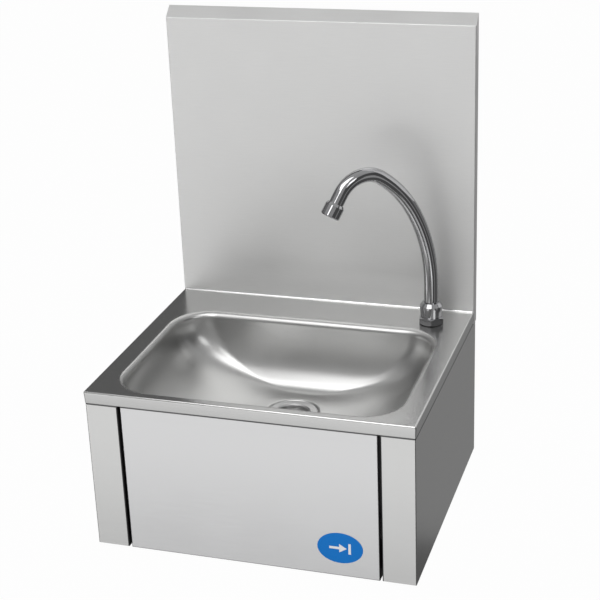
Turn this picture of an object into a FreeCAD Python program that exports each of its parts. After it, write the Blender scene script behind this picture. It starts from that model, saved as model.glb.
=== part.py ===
import FreeCAD, Part
import math
import os

from FreeCAD import Vector

# A wall-hung hand wash sink of stainless steel sheet, worked by pushing its front panel.
# Millimetres. X runs along the wall with 0 at mid-width, the sink stands out from the wall
# plane Y = 0 towards -Y, and Z = 0 is the line of the upper wall bolts, just under the deck.

# ---------------------------------------------------------------- driving dimensions
WIDTH = 400.0
DEPTH = 345.0
DECK_Z = 30.0              # top of the deck above the upper wall bolts
CASING_DROP = 205.0        # deck top to the casing's lower edge
SPLASH_RISE = 372.0        # deck top to the splashback's front top edge
SPLASH_CROWN = 13.0        # rise of the sloped top return from its front edge to the wall
SPLASH_DEPTH = 15.0        # the splashback's face in front of the wall
SHEET = 1.0
BEND = 1.5                 # outer radius of the sheet's bends
LIP = 16.0                 # height of the deck's folded lip
EXTRA = 20.0               # how far a cutting tool runs past what it cuts

BOWL_LENGTH = 340.0        # along X, between the walls under the rolled rim
BOWL_WIDTH = 240.0         # along Y
BOWL_Y = -208.5
BOWL_DEPTH = 88.0
BOWL_CORNER = 45.0         # corner radius in plan, the same at every depth
BOWL_SKIRT = 9.0           # the upright wall at the top, its rolled rim included
BOWL_FLOOR_HALF = 46.0     # half width of the flat floor round the drain
BOWL_SECTIONS = 8
RIM_ROLL = 5.0
DRAIN_Y = -172.0

FRONT_STRIP = 40.5         # width of the casing's front strips
SLIT = 3.0                 # gap between a strip and the push panel
PANEL_SETBACK = 0.4        # push panel's face behind the strips' faces
PANEL_TRAVEL = math.radians(3.5)
HINGE_Y = -337.0
HINGE_Z = 20.0
HINGE_PIN_R = 3.0
PIN_THREAD_R = 2.5

SPOUT_X = 153.4
SPOUT_Y = -58.2
SPOUT_HEADING = math.radians(225.0)
SPOUT_R = 9.0
SPOUT_BORE_R = 8.0
SPOUT_RISE = 53.0          # straight part of the spout above the deck
SPOUT_BENDS = ((213.0, 29.4), (149.0, 25.3), (39.0, 92.6))    # radius, degrees turned
SPOUT_TAIL = 30.0          # straight part from the last bend to the nozzle's mouth
NOZZLE_LENGTH = 17.5

VALVE_X = -100.0
VALVE_Z = -135.0
STRIKER_GAP = 0.3
BUTTON_R = 11.0
BONNET_R = 14.9
BUTTON_STROKE = PANEL_TRAVEL * (HINGE_Z - VALVE_Z)

WALL_BOLT_SPACING = 240.0
WALL_BOLT_HOLE_R = 4.5
LOWER_BOLT_Z = -155.0

RUNNING_GAP = 0.05         # radial clearance where one piece turns or slides in another
THREAD_GAP = 0.08          # radial clearance between the plain cylinders that stand for threads
LOOSE_GAP = 0.3            # radial clearance of a hole that a screw or tube only passes
HALF_INCH_R = 10.45        # outside radius of a G1/2 thread
WASTE_R = 23.9             # outside radius of a G1 1/2 thread

# ---------------------------------------------------------------- places worked out from them
HALF = WIDTH / 2
FRONT_Y = -DEPTH
DECK_UNDER_Z = DECK_Z - SHEET
LIP_Z = DECK_Z - LIP
CASING_Z = DECK_Z - CASING_DROP
CASING_FRONT_Y = FRONT_Y + SHEET
CASING_HALF = HALF - SHEET
SPLASH_Y = -SPLASH_DEPTH
SPLASH_TOP_Z = DECK_Z + SPLASH_RISE
BOWL_FLOOR_Z = DECK_Z - BOWL_DEPTH
STRIP_INNER_X = CASING_HALF - FRONT_STRIP
PANEL_HALF = STRIP_INNER_X - SLIT
PANEL_FRONT_Y = CASING_FRONT_Y + PANEL_SETBACK
PANEL_BACK_Y = PANEL_FRONT_Y + SHEET
PANEL_BOTTOM_Z = CASING_Z - SHEET

X_AXIS = Vector(1, 0, 0)
Y_AXIS = Vector(0, 1, 0)
Z_AXIS = Vector(0, 0, 1)
DOWN = Vector(0, 0, -1)


# ---------------------------------------------------------------- simple solids
def block(x, y, z):
    """A box between the pairs x, y and z."""
    size = [abs(pair[1] - pair[0]) for pair in (x, y, z)]
    return Part.makeBox(*size, Vector(min(x), min(y), min(z)))


def rod(start, direction, radius, length):
    return Part.makeCylinder(radius, length, start, direction)


def ring(start, direction, outer, inner, length):
    return rod(start, direction, outer, length).cut(rod(start, direction, inner, length))


def joined(shapes):
    whole = shapes[0]
    for shape in shapes[1:]:
        whole = whole.fuse(shape)
    return whole.removeSplitter()


def turned(profile, start, direction):
    """A solid turned from points (radius, height along the axis) in order round the section."""
    points = [Vector(radius, 0, height) for radius, height in profile]
    section = Part.Face(Part.makePolygon(points + points[:1]))
    solid = section.revolve(Vector(0, 0, 0), Z_AXIS, 360)
    solid.Placement = FreeCAD.Placement(start, FreeCAD.Rotation(Z_AXIS, direction))
    return Part.makeSolid(solid) if solid.ShapeType == "Shell" else solid


def hexagon(start, direction, across_flats, length, turn=0.0):
    """A hexagon bar with its corners chamfered at 30 degrees at both ends."""
    corner_r = across_flats / math.sqrt(3)
    corners = []
    for step in range(6):
        angle = math.radians(turn + 60 * step)
        corners.append(Vector(corner_r * math.cos(angle), corner_r * math.sin(angle), 0))
    prism = Part.Face(Part.makePolygon(corners + corners[:1])).extrude(Vector(0, 0, length))
    flat_r = across_flats / 2
    drop = (corner_r - flat_r) * math.tan(math.radians(30))
    profile = [(0, 0), (flat_r, 0), (corner_r + 0.01, drop), (corner_r + 0.01, length - drop),
               (flat_r, length), (0, length)]
    bar = prism.common(turned(profile, Vector(0, 0, 0), Z_AXIS))
    bar.Placement = FreeCAD.Placement(start, FreeCAD.Rotation(Z_AXIS, direction))
    return bar


def nut(start, direction, across_flats, bore_r, length, turn=0.0):
    return hexagon(start, direction, across_flats, length, turn).cut(
        rod(start, direction, bore_r, length))


def rounded(shape, radius, wanted):
    """Round the edges whose middle point passes the test `wanted`."""
    edges = [edge for edge in shape.Edges if wanted(edge.CenterOfMass, edge)]
    return shape.makeFillet(radius, edges)


def near(value, target):
    return abs(value - target) < 0.01


def mirrored(shape):
    return shape.mirror(Vector(0, 0, 0), X_AXIS)


def pair(shape):
    """The shape and its mirror image on the other side, as separate solids."""
    return Part.makeCompound([shape, mirrored(shape)])


def rounded_rectangle(half_x, front, rear, radius, z):
    """A closed wire from `front` to `rear` along Y, the same eight edges whatever its size."""
    corners = ((half_x, rear), (-half_x, rear), (-half_x, front), (half_x, front))
    middle_y = (front + rear) / 2
    arcs = []
    for quarter, (x, y) in enumerate(corners):
        centre = Vector(x - math.copysign(radius, x), y - math.copysign(radius, y - middle_y), z)
        arcs.append([
            centre + Vector(radius * math.cos(angle), radius * math.sin(angle), 0)
            for angle in (math.radians(90 * quarter + 45 * step) for step in range(3))])
    edges = []
    for quarter, (start, middle, end) in enumerate(arcs):
        edges.append(Part.Arc(start, middle, end).toShape())
        edges.append(Part.makeLine(end, arcs[(quarter + 1) % 4][0]))
    return Part.Wire(edges)


def tube_route(points):
    """A wire from a list of ('line', end) and ('arc', middle, end) steps after its first point."""
    edges = []
    here = points[0]
    for step in points[1:]:
        end = step[-1]
        if step[0] == "line":
            edges.append(Part.makeLine(here, end))
        else:
            edges.append(Part.Arc(here, step[1], end).toShape())
        here = end
    return Part.Wire(edges)


def swept(route, start, direction, radius):
    """A round bar along a route that starts at `start` and heads along `direction`."""
    circle = Part.Wire(Part.makeCircle(radius, start, direction))
    return route.makePipeShell([circle], True, False)


# ---------------------------------------------------------------- the sheet metal tray
def bowl_section(angle, offset):
    """The bowl's outline in plan at an angle down its elliptical wall, 0 at the top of the wall
    and 90 at the floor, `offset` outside its upper face."""
    share = math.cos(math.radians(angle))
    depth = (BOWL_DEPTH - BOWL_SKIRT + offset) * math.sin(math.radians(angle))

    def reach(wall):
        return BOWL_FLOOR_HALF + (wall - BOWL_FLOOR_HALF + offset) * share

    front_wall = DRAIN_Y - (BOWL_Y - BOWL_WIDTH / 2)
    rear_wall = BOWL_Y + BOWL_WIDTH / 2 - DRAIN_Y
    return rounded_rectangle(reach(BOWL_LENGTH / 2), DRAIN_Y - reach(front_wall), DRAIN_Y + reach(rear_wall),
                             BOWL_CORNER + offset * share, DECK_Z - BOWL_SKIRT - depth)


def air_above(offset):
    """Everything over the tray's upper face, or over a face `offset` below it: the dished bowl,
    its upright skirt and a slab above the deck, with the rim rolled."""
    skirt = Part.Face(bowl_section(0, offset)).extrude(Vector(0, 0, BOWL_SKIRT + EXTRA))
    slab = block((-HALF, HALF), (FRONT_Y, SPLASH_Y), (DECK_Z - offset, DECK_Z + 2 * EXTRA))
    air = skirt.fuse(slab).removeSplitter()
    rim_z = DECK_Z - offset
    air = rounded(air, RIM_ROLL - offset, lambda at, edge: (
        near(edge.BoundBox.ZMin, rim_z) and near(edge.BoundBox.ZMax, rim_z)
        and abs(at.x) < HALF - 1 and FRONT_Y + 1 < at.y < SPLASH_Y - 1))
    sections = [bowl_section(90 * step / BOWL_SECTIONS, offset) for step in range(BOWL_SECTIONS + 1)]
    return air.fuse(Part.makeLoft(sections, True, False))


DRAIN_RECESS_R = 33.0
DRAIN_RECESS = 3.0
DRAIN_HOLE_R = 24.0
UPSTAND = 15.0             # the deck's rear flange, behind the splashback's face
SPOUT_HOLE_R = 11.0


def drain_recess(offset):
    top = BOWL_FLOOR_Z + EXTRA
    floor = BOWL_FLOOR_Z - DRAIN_RECESS - offset
    radius = DRAIN_RECESS_R + offset
    profile = [(0, floor), (radius - 1, floor), (radius + 1, BOWL_FLOOR_Z), (radius + 1, top), (0, top)]
    return turned(profile, Vector(0, DRAIN_Y, 0), Z_AXIS)


def make_basin_top():
    outer = block((-HALF, HALF), (FRONT_Y, SPLASH_Y), (LIP_Z, DECK_Z))
    outer = rounded(outer, BEND, lambda at, edge: (
        (near(at.z, DECK_Z) or near(at.y, FRONT_Y)) and not near(at.z, LIP_Z) and not near(at.y, SPLASH_Y)))
    inner = block((-CASING_HALF, CASING_HALF), (CASING_FRONT_Y, SPLASH_Y + EXTRA),
                  (LIP_Z - EXTRA, DECK_UNDER_Z))
    rim_plate = outer.cut(inner)
    margin = 2 * RIM_ROLL
    window = ((-BOWL_LENGTH / 2 - margin, BOWL_LENGTH / 2 + margin),
              (BOWL_Y - BOWL_WIDTH / 2 - RIM_ROLL, BOWL_Y + BOWL_WIDTH / 2 + margin))
    rim_plate = rim_plate.cut(block(*window, (LIP_Z, DECK_Z + EXTRA)))
    bowl_region = block(*window, (BOWL_FLOOR_Z - EXTRA, DECK_Z))
    lower = air_above(SHEET).fuse(drain_recess(SHEET))
    upper = air_above(0.0).fuse(drain_recess(0.0))
    bowl = lower.cut(upper).common(bowl_region)
    back = CASING_HALF - SHEET / 2
    heel = block((-back, back), (SPLASH_Y, SPLASH_Y + 2 * SHEET), (DECK_UNDER_Z, DECK_Z))
    upstand = block((-back, back), (SPLASH_Y + SHEET, SPLASH_Y + 2 * SHEET),
                    (DECK_UNDER_Z, DECK_Z + UPSTAND))
    tray = joined([rim_plate, bowl, heel, upstand])
    drain = rod(Vector(0, DRAIN_Y, BOWL_FLOOR_Z - EXTRA), Z_AXIS, DRAIN_HOLE_R, 2 * EXTRA)
    spout_hole = rod(Vector(SPOUT_X, SPOUT_Y, LIP_Z), Z_AXIS, SPOUT_HOLE_R, LIP + EXTRA)
    return tray.cut(drain).cut(spout_hole)


def make_splashback():
    slope = SPLASH_CROWN / SPLASH_DEPTH
    top_offset = SHEET * math.hypot(1, slope)

    def body(front, half, lift, back):
        """A slab from the face at y = front to y = back under the sloped top return."""
        points = [(front, LIP_Z), (front, SPLASH_TOP_Z + lift + slope * (front - SPLASH_Y)),
                  (back, SPLASH_TOP_Z + lift + slope * (back - SPLASH_Y)), (back, LIP_Z)]
        corners = [Vector(-half, y, z) for y, z in points]
        return Part.Face(Part.makePolygon(corners + corners[:1])).extrude(Vector(2 * half, 0, 0))

    outer = body(SPLASH_Y, HALF, 0.0, 0.0)
    outer = rounded(outer, BEND, lambda at, edge: (
        near(at.y, SPLASH_Y) and not near(at.z, LIP_Z)))
    inner = body(SPLASH_Y + SHEET, CASING_HALF, -top_offset, SHEET)
    over_deck = block((-CASING_HALF, CASING_HALF), (SPLASH_Y - 1, 1), (LIP_Z - 1, DECK_Z))
    return outer.cut(inner).cut(over_deck)


# ---------------------------------------------------------------- the casing
STRIP_RETURN = 14.0        # depth of the strips' inner returns
FOOT_FLANGE = 12.0


def make_right_side_panel():
    height = (CASING_Z, DECK_UNDER_Z)
    wall = block((CASING_HALF - SHEET, CASING_HALF), (CASING_FRONT_Y, 0), height)
    strip = block((STRIP_INNER_X, CASING_HALF), (CASING_FRONT_Y, CASING_FRONT_Y + SHEET), height)
    inner_return = block((STRIP_INNER_X, STRIP_INNER_X + SHEET),
                         (CASING_FRONT_Y, CASING_FRONT_Y + STRIP_RETURN), height)
    foot = block((CASING_HALF - FOOT_FLANGE, CASING_HALF),
                 (CASING_FRONT_Y + STRIP_RETURN, -EXTRA), (CASING_Z, CASING_Z + SHEET))
    panel = joined([wall, strip, inner_return, foot])
    panel = rounded(panel, BEND, lambda at, edge: (
        near(at.y, CASING_FRONT_Y) and near(edge.Length, DECK_UNDER_Z - CASING_Z)))
    pin_hole = rod(Vector(STRIP_INNER_X - 1, HINGE_Y, HINGE_Z), X_AXIS, PIN_THREAD_R + THREAD_GAP, 3)
    return panel.cut(pin_hole)


RAIL_SHEET = 2.0
RAIL_HALF_HEIGHT = 15.0
RAIL_TAB = 20.0


def make_wall_rail(middle_z, half_height):
    """A rail between the casing sides, its back on the wall plane and an end tab along each side."""
    half = CASING_HALF - SHEET
    height = (middle_z - half_height, middle_z + half_height)
    plate = block((-half, half), (-RAIL_SHEET, 0), height)
    tab = block((half - RAIL_SHEET, half), (-RAIL_TAB, 0), height)
    rail = joined([plate, tab, mirrored(tab)])
    for side in (-1, 1):
        place = Vector(side * WALL_BOLT_SPACING / 2, -EXTRA, middle_z)
        rail = rail.cut(rod(place, Y_AXIS, WALL_BOLT_HOLE_R, 2 * EXTRA))
    return rail


CROSSBAR_Y = -293.0        # front face of the cross member
CROSSBAR_Z = (-160.0, -110.0)
CROSSBAR_FOOT = 16.0
STUD_R = 2.5
STUD_LENGTH = 12.0
STUD_EDGE = 12.0           # from the ends of the cross member's tab to the studs
STUD_PLACES = [(CROSSBAR_Y + 11.0, z) for z in (CROSSBAR_Z[0] + STUD_EDGE, CROSSBAR_Z[1] - STUD_EDGE)]
SMALL_NUT_AF = 8.0
SMALL_NUT = 4.0            # thickness of the M5 nuts


def make_valve_crossbar():
    half = CASING_HALF - SHEET
    plate = block((-half, half), (CROSSBAR_Y, CROSSBAR_Y + RAIL_SHEET), CROSSBAR_Z)
    foot = block((-half + EXTRA, half - EXTRA), (CROSSBAR_Y, CROSSBAR_Y + CROSSBAR_FOOT),
                 (CROSSBAR_Z[0], CROSSBAR_Z[0] + RAIL_SHEET))
    tab = block((half - RAIL_SHEET, half), (CROSSBAR_Y, CROSSBAR_Y + EXTRA), CROSSBAR_Z)
    bar = joined([plate, foot, tab, mirrored(tab)])
    bar = bar.cut(rod(Vector(VALVE_X, CROSSBAR_Y - 1, VALVE_Z), Y_AXIS, BONNET_R + LOOSE_GAP, EXTRA))
    for y, z in STUD_PLACES:
        bar = bar.cut(rod(Vector(-HALF, y, z), X_AXIS, STUD_R + LOOSE_GAP, WIDTH))
    return bar


def make_crossbar_studs():
    face = CASING_HALF - SHEET
    studs = [rod(Vector(face, y, z), Vector(-1, 0, 0), STUD_R, STUD_LENGTH) for y, z in STUD_PLACES]
    return Part.makeCompound(studs + [mirrored(stud) for stud in studs])


def make_crossbar_nuts():
    face = CASING_HALF - SHEET - RAIL_SHEET
    nuts = [nut(Vector(face, y, z), Vector(-1, 0, 0), SMALL_NUT_AF, STUD_R + THREAD_GAP, SMALL_NUT)
            for y, z in STUD_PLACES]
    return Part.makeCompound(nuts + [mirrored(piece) for piece in nuts])


# ---------------------------------------------------------------- the push panel and its hinge
PANEL_TOP_Z = HINGE_Z - 2.0
PANEL_RETURN = 18.6        # depth of the panel's side returns
PANEL_FOOT = 12.0          # depth of its bottom return
PANEL_HEAD = 10.0          # depth of its top return
PANEL_HEAD_INSET = 8.0     # the top return stops short of the pins
EAR_R = 6.0
PIN_INSIDE = 4.2           # how far the hinge pins reach inside the panel
PIN_HEAD_R = 5.0
PIN_HEAD = 2.4             # thickness of the pins' heads
PIN_THREAD = 6.0
BUSH_R = 4.5
BUSH_FLANGE_R = 5.5
BUSH_INSIDE = 1.6          # how far the bushes reach inside the panel
BUSH_END_GAP = 0.2
HOOK_Z = (-170.0, -130.0)
HOOK_REACH = 8.5
BUMPER_WALL = 0.9
BUMPER_GRIP = 4.0          # how far a bumper runs on to its strip's return
BUMPER_INSET = 5.0         # from a hook's ends to the bumper's ends


def make_push_panel():
    height = (PANEL_BOTTOM_Z, PANEL_TOP_Z)
    face = block((-PANEL_HALF, PANEL_HALF), (PANEL_FRONT_Y, PANEL_BACK_Y), height)
    side = block((PANEL_HALF - SHEET, PANEL_HALF), (PANEL_FRONT_Y, PANEL_FRONT_Y + PANEL_RETURN), height)
    bottom = block((-PANEL_HALF, PANEL_HALF), (PANEL_FRONT_Y, PANEL_FRONT_Y + PANEL_FOOT),
                   (PANEL_BOTTOM_Z, PANEL_BOTTOM_Z + SHEET))
    clear_of_pins = PANEL_HALF - PANEL_HEAD_INSET
    top = block((-clear_of_pins, clear_of_pins), (PANEL_FRONT_Y, PANEL_FRONT_Y + PANEL_HEAD),
                (PANEL_TOP_Z - SHEET, PANEL_TOP_Z))
    panel = joined([face, side, mirrored(side), bottom, top])
    panel = rounded(panel, BEND, lambda at, edge: (
        near(at.y, PANEL_FRONT_Y) and not near(at.z, PANEL_TOP_Z)))
    ear = rod(Vector(PANEL_HALF - SHEET, HINGE_Y, HINGE_Z), X_AXIS, EAR_R, SHEET)
    hook_y = PANEL_FRONT_Y + PANEL_RETURN
    hook = block((PANEL_HALF - SHEET, PANEL_HALF + HOOK_REACH), (hook_y - SHEET, hook_y), HOOK_Z)
    bush_hole = rod(Vector(-HALF, HINGE_Y, HINGE_Z), X_AXIS, BUSH_R + RUNNING_GAP, WIDTH)
    return joined([panel, ear, mirrored(ear), hook, mirrored(hook)]).cut(bush_hole)


def make_hinge_pins():
    """Shoulder screws: head inside the panel, shoulder through the bush, thread in the strip's return."""
    inner_end = Vector(PANEL_HALF - PIN_INSIDE, HINGE_Y, HINGE_Z)
    head = rod(inner_end, X_AXIS, PIN_HEAD_R, PIN_HEAD)
    shoulder = rod(inner_end, X_AXIS, HINGE_PIN_R, PIN_INSIDE + SLIT)
    thread = rod(inner_end, X_AXIS, PIN_THREAD_R, PIN_INSIDE + SLIT + PIN_THREAD)
    return pair(joined([head, shoulder, thread]))


def make_hinge_bushes():
    def layer(start_x, radius):
        return rod(Vector(start_x, HINGE_Y, HINGE_Z), X_AXIS, radius, STRIP_INNER_X - BUSH_END_GAP - start_x)

    sleeve = layer(PANEL_HALF - BUSH_INSIDE, BUSH_R)
    flange = layer(PANEL_HALF + BUSH_END_GAP, BUSH_FLANGE_R)
    bore = layer(PANEL_HALF - EXTRA, HINGE_PIN_R + RUNNING_GAP)
    return pair(joined([sleeve, flange]).cut(bore))


def make_hinge_nuts():
    place = Vector(STRIP_INNER_X + SHEET, HINGE_Y, HINGE_Z)
    return pair(nut(place, X_AXIS, SMALL_NUT_AF, PIN_THREAD_R + THREAD_GAP, SMALL_NUT, turn=30))


def make_panel_bumpers():
    """Rubber channels pushed on the rear edge of the strips' returns, where the panel's hooks rest."""
    edge_y = CASING_FRONT_Y + STRIP_RETURN
    hook_front_y = PANEL_FRONT_Y + PANEL_RETURN - SHEET
    height = (HOOK_Z[0] + BUMPER_INSET, HOOK_Z[1] - BUMPER_INSET)
    outer = block((STRIP_INNER_X - BUMPER_WALL, STRIP_INNER_X + SHEET + BUMPER_WALL),
                  (edge_y - BUMPER_GRIP, hook_front_y - STRIKER_GAP), height)
    slot = block((STRIP_INNER_X, STRIP_INNER_X + SHEET), (edge_y - BUMPER_GRIP, edge_y), height)
    return pair(outer.cut(slot))


LABEL_X = 108.5
LABEL_Z = DECK_Z - 168.3
LABEL_HALF_WIDTH = 27.5
LABEL_HALF_HEIGHT = 20.0
LABEL_THICKNESS = 0.3


def make_push_label():
    oval = Part.Ellipse(Vector(0, 0, 0), LABEL_HALF_WIDTH, LABEL_HALF_HEIGHT)
    sticker = Part.Face(Part.Wire(oval.toShape())).extrude(Vector(0, 0, LABEL_THICKNESS))
    sticker.Placement = FreeCAD.Placement(
        Vector(LABEL_X, PANEL_FRONT_Y, LABEL_Z), FreeCAD.Rotation(X_AXIS, 90))
    return sticker


# ---------------------------------------------------------------- the striker on the push panel
HAT_HALF_LENGTH = 50.0
HAT_DEPTH = 12.0
HAT_HALF_CROWN = 15.0
HAT_FLANGE = 10.0
STRIKER_R = 3.0
STRIKER_AF = 10.0
STRIKER_HEAD = 4.0
STRIKER_NUT = 5.0
PAD_R = 10.0
PAD_LENGTH = 9.0
PAD_SOCKET = 5.2           # depth of the pad's hole for the screw
PAD_DOME_R = 25.0
PAD_APEX_Y = -313.0


def make_panel_stiffener():
    length = (VALVE_X - HAT_HALF_LENGTH, VALVE_X + HAT_HALF_LENGTH)
    crown_y = PANEL_BACK_Y + HAT_DEPTH
    crown = block(length, (crown_y - SHEET, crown_y), (VALVE_Z - HAT_HALF_CROWN, VALVE_Z + HAT_HALF_CROWN))
    pieces = [crown]
    for side in (-1, 1):
        edge = VALVE_Z + side * HAT_HALF_CROWN
        pieces.append(block(length, (PANEL_BACK_Y, crown_y), (edge - side * SHEET, edge)))
        pieces.append(block(length, (PANEL_BACK_Y, PANEL_BACK_Y + SHEET),
                            (edge - side * SHEET, edge + side * HAT_FLANGE)))
    hat = joined(pieces)
    return hat.cut(rod(Vector(VALVE_X, crown_y - 2, VALVE_Z), Y_AXIS, STRIKER_R + LOOSE_GAP, EXTRA))


def make_striker_screw():
    inside_y = PANEL_BACK_Y + HAT_DEPTH - SHEET
    head_y = inside_y - STRIKER_HEAD
    end_y = PAD_APEX_Y - PAD_LENGTH + PAD_SOCKET - 0.2
    head = hexagon(Vector(VALVE_X, head_y, VALVE_Z), Y_AXIS, STRIKER_AF, STRIKER_HEAD)
    shank = rod(Vector(VALVE_X, head_y, VALVE_Z), Y_AXIS, STRIKER_R, end_y - head_y)
    return joined([head, shank])


def make_striker_nut():
    web_y = PANEL_BACK_Y + HAT_DEPTH
    return nut(Vector(VALVE_X, web_y, VALVE_Z), Y_AXIS, STRIKER_AF, STRIKER_R + THREAD_GAP, STRIKER_NUT)


def make_striker_pad():
    start = Vector(VALVE_X, PAD_APEX_Y - PAD_LENGTH, VALVE_Z)
    body = rod(start, Y_AXIS, PAD_R, PAD_LENGTH)
    dome = Part.makeSphere(PAD_DOME_R, Vector(VALVE_X, PAD_APEX_Y - PAD_DOME_R, VALVE_Z))
    socket = rod(start, Y_AXIS, STRIKER_R + THREAD_GAP, PAD_SOCKET)
    return body.common(dome).cut(socket)


# ---------------------------------------------------------------- the push valve
BUTTON_Y = PAD_APEX_Y + STRIKER_GAP
BUTTON_WALL = 1.6
BUTTON_CAP = 3.0
BUTTON_EDGE = 1.5
STEM_R = 3.0
STEM_SOCKET = 1.0          # how deep the stem sits in the button's cap
STEM_END_Y = -238.0
BONNET_Y = (-301.0, -262.2)
BONNET_NUT_AF = 36.0
BONNET_NUTS = (6.0, 5.5)   # thickness of the locknuts before and behind the cross member
GLAND_Y = (-279.3, -272.0)
SEAL_GROOVE_Y = (-277.0, -274.6)
SEAL_GROOVE = 2.0          # depth of the groove round the stem
SEAL_CORD_R = 0.9
BUTTON_LENGTH = GLAND_Y[0] - 0.7 - BUTTON_STROKE - BUTTON_Y    # stops short of the gland
BODY_Y = (-285.0, -222.0)
BODY_R = 19.0
CHAMBER_R = 12.0
CHAMBER_Y = (-262.0, -226.0)
SEAT_Y = (-250.0, -246.0)
SEAT_R = 6.0
POPPET_R = 9.0
POPPET = 3.5               # thickness of the poppet
POPPET_SEAL = 2.0
OUTLET_Y = -256.0
OUTLET_ROOT = 5.0          # the outlet starts inside the body, this far from its axis
OUTLET_SHOULDER_R = 12.0
OUTLET_SHOULDER = 14.0
OUTLET_BORE_R = 5.0
OUTLET_END = 30.0
NECK_THREAD_R = 9.9
NECK_THREAD = 3.6


def on_valve(y):
    return Vector(VALVE_X, y, VALVE_Z)


def make_valve_button():
    cap = rod(on_valve(BUTTON_Y), Y_AXIS, BUTTON_R, BUTTON_LENGTH)
    cap = rounded(cap, BUTTON_EDGE, lambda at, edge: near(at.y, BUTTON_Y) and edge.Closed)
    hollow = rod(on_valve(BUTTON_Y + BUTTON_CAP), Y_AXIS, BUTTON_R - BUTTON_WALL, BUTTON_LENGTH)
    socket_y = BUTTON_Y + BUTTON_CAP - STEM_SOCKET - THREAD_GAP
    return cap.cut(hollow).cut(rod(on_valve(socket_y), Y_AXIS, STEM_R + THREAD_GAP, BUTTON_LENGTH))


def make_valve_stem():
    start_y = BUTTON_Y + BUTTON_CAP - STEM_SOCKET
    return rod(on_valve(start_y), Y_AXIS, STEM_R, STEM_END_Y - start_y)


def make_poppet_seal():
    return ring(on_valve(SEAT_Y[1] + RUNNING_GAP), Y_AXIS, POPPET_R, STEM_R + THREAD_GAP, POPPET_SEAL)


def make_valve_poppet():
    start = on_valve(SEAT_Y[1] + RUNNING_GAP + POPPET_SEAL)
    return ring(start, Y_AXIS, POPPET_R, STEM_R + THREAD_GAP, POPPET)


def make_valve_bonnet():
    sleeve = rod(on_valve(BONNET_Y[0]), Y_AXIS, BONNET_R, BONNET_Y[1] - BONNET_Y[0])
    button_bore = rod(on_valve(BONNET_Y[0]), Y_AXIS, BUTTON_R + RUNNING_GAP, GLAND_Y[0] - BONNET_Y[0])
    rear_bore = rod(on_valve(GLAND_Y[1]), Y_AXIS, POPPET_R, EXTRA)
    stem_bore = rod(on_valve(GLAND_Y[0]), Y_AXIS, STEM_R + RUNNING_GAP, EXTRA)
    groove_width = SEAL_GROOVE_Y[1] - SEAL_GROOVE_Y[0]
    groove = rod(on_valve(SEAL_GROOVE_Y[0]), Y_AXIS, STEM_R + SEAL_GROOVE, groove_width)
    return sleeve.cut(button_bore).cut(rear_bore).cut(stem_bore).cut(groove)


def make_stem_seal():
    middle = (SEAL_GROOVE_Y[0] + SEAL_GROOVE_Y[1]) / 2
    return Part.makeTorus(STEM_R + RUNNING_GAP + SEAL_CORD_R, SEAL_CORD_R, on_valve(middle), Y_AXIS)


def make_bonnet_locknuts():
    starts = (CROSSBAR_Y - BONNET_NUTS[0], CROSSBAR_Y + RAIL_SHEET)
    nuts = [nut(on_valve(start), Y_AXIS, BONNET_NUT_AF, BONNET_R + THREAD_GAP, thickness)
            for start, thickness in zip(starts, BONNET_NUTS)]
    return Part.makeCompound(nuts)


def make_valve_body():
    shell = rod(on_valve(BODY_Y[0]), Y_AXIS, BODY_R, BODY_Y[1] - BODY_Y[0])
    shell = rounded(shell, 1.0, lambda at, edge: edge.Closed)
    outlet_start = Vector(VALVE_X + OUTLET_ROOT, OUTLET_Y, VALVE_Z)
    shoulder = rod(outlet_start, X_AXIS, OUTLET_SHOULDER_R, OUTLET_SHOULDER)
    thread = rod(outlet_start, X_AXIS, HALF_INCH_R, OUTLET_END - OUTLET_ROOT)
    body = joined([shell, shoulder, thread])

    def bore(radius, start_y, end_y):
        return rod(on_valve(start_y), Y_AXIS, radius, end_y - start_y)

    for void in (bore(BONNET_R + THREAD_GAP, BODY_Y[0], CHAMBER_Y[0]),
                 bore(CHAMBER_R, CHAMBER_Y[0], SEAT_Y[0]),
                 bore(SEAT_R, SEAT_Y[0], SEAT_Y[1]),
                 bore(CHAMBER_R, SEAT_Y[1], CHAMBER_Y[1]),
                 bore(NECK_THREAD_R + THREAD_GAP, CHAMBER_Y[1], BODY_Y[1]),
                 rod(outlet_start, X_AXIS, OUTLET_BORE_R, OUTLET_END)):
        body = body.cut(void)
    return body


SPRING_MEAN_R = 7.0
SPRING_WIRE_R = 0.7
SPRING_TURNS = 7
SPRING_END_GAP = 0.05      # between the wire and the faces that it presses on


def biarc(start, start_heading, end, end_heading):
    """Two tangent arcs from start to end that leave and arrive along the given headings."""
    gap = end - start
    both = start_heading + end_heading
    a = 2 * (1 - start_heading.dot(end_heading))
    b = 2 * gap.dot(both)
    reach = (-b + math.sqrt(b * b + 4 * a * gap.dot(gap))) / (2 * a)
    meeting = (start + start_heading * reach + end - end_heading * reach) * 0.5
    return [arc_from(start, start_heading, meeting), arc_from(end, end_heading * -1, meeting, True)]


def arc_from(start, heading, end, backwards=False):
    """The arc that leaves start along a heading and reaches end, drawn the other way if backwards."""
    chord = end - start
    half = chord.Length / 2
    along = chord * (1 / chord.Length)
    off = heading - along * heading.dot(along)
    angle = math.acos(max(-1.0, min(1.0, heading.dot(along))))
    off = off * (1 / off.Length)
    middle = (start + end) * 0.5 + off * (half * math.tan(angle / 2))
    ends = (end, start) if backwards else (start, end)
    return Part.Arc(ends[0], middle, ends[1]).toShape()


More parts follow.
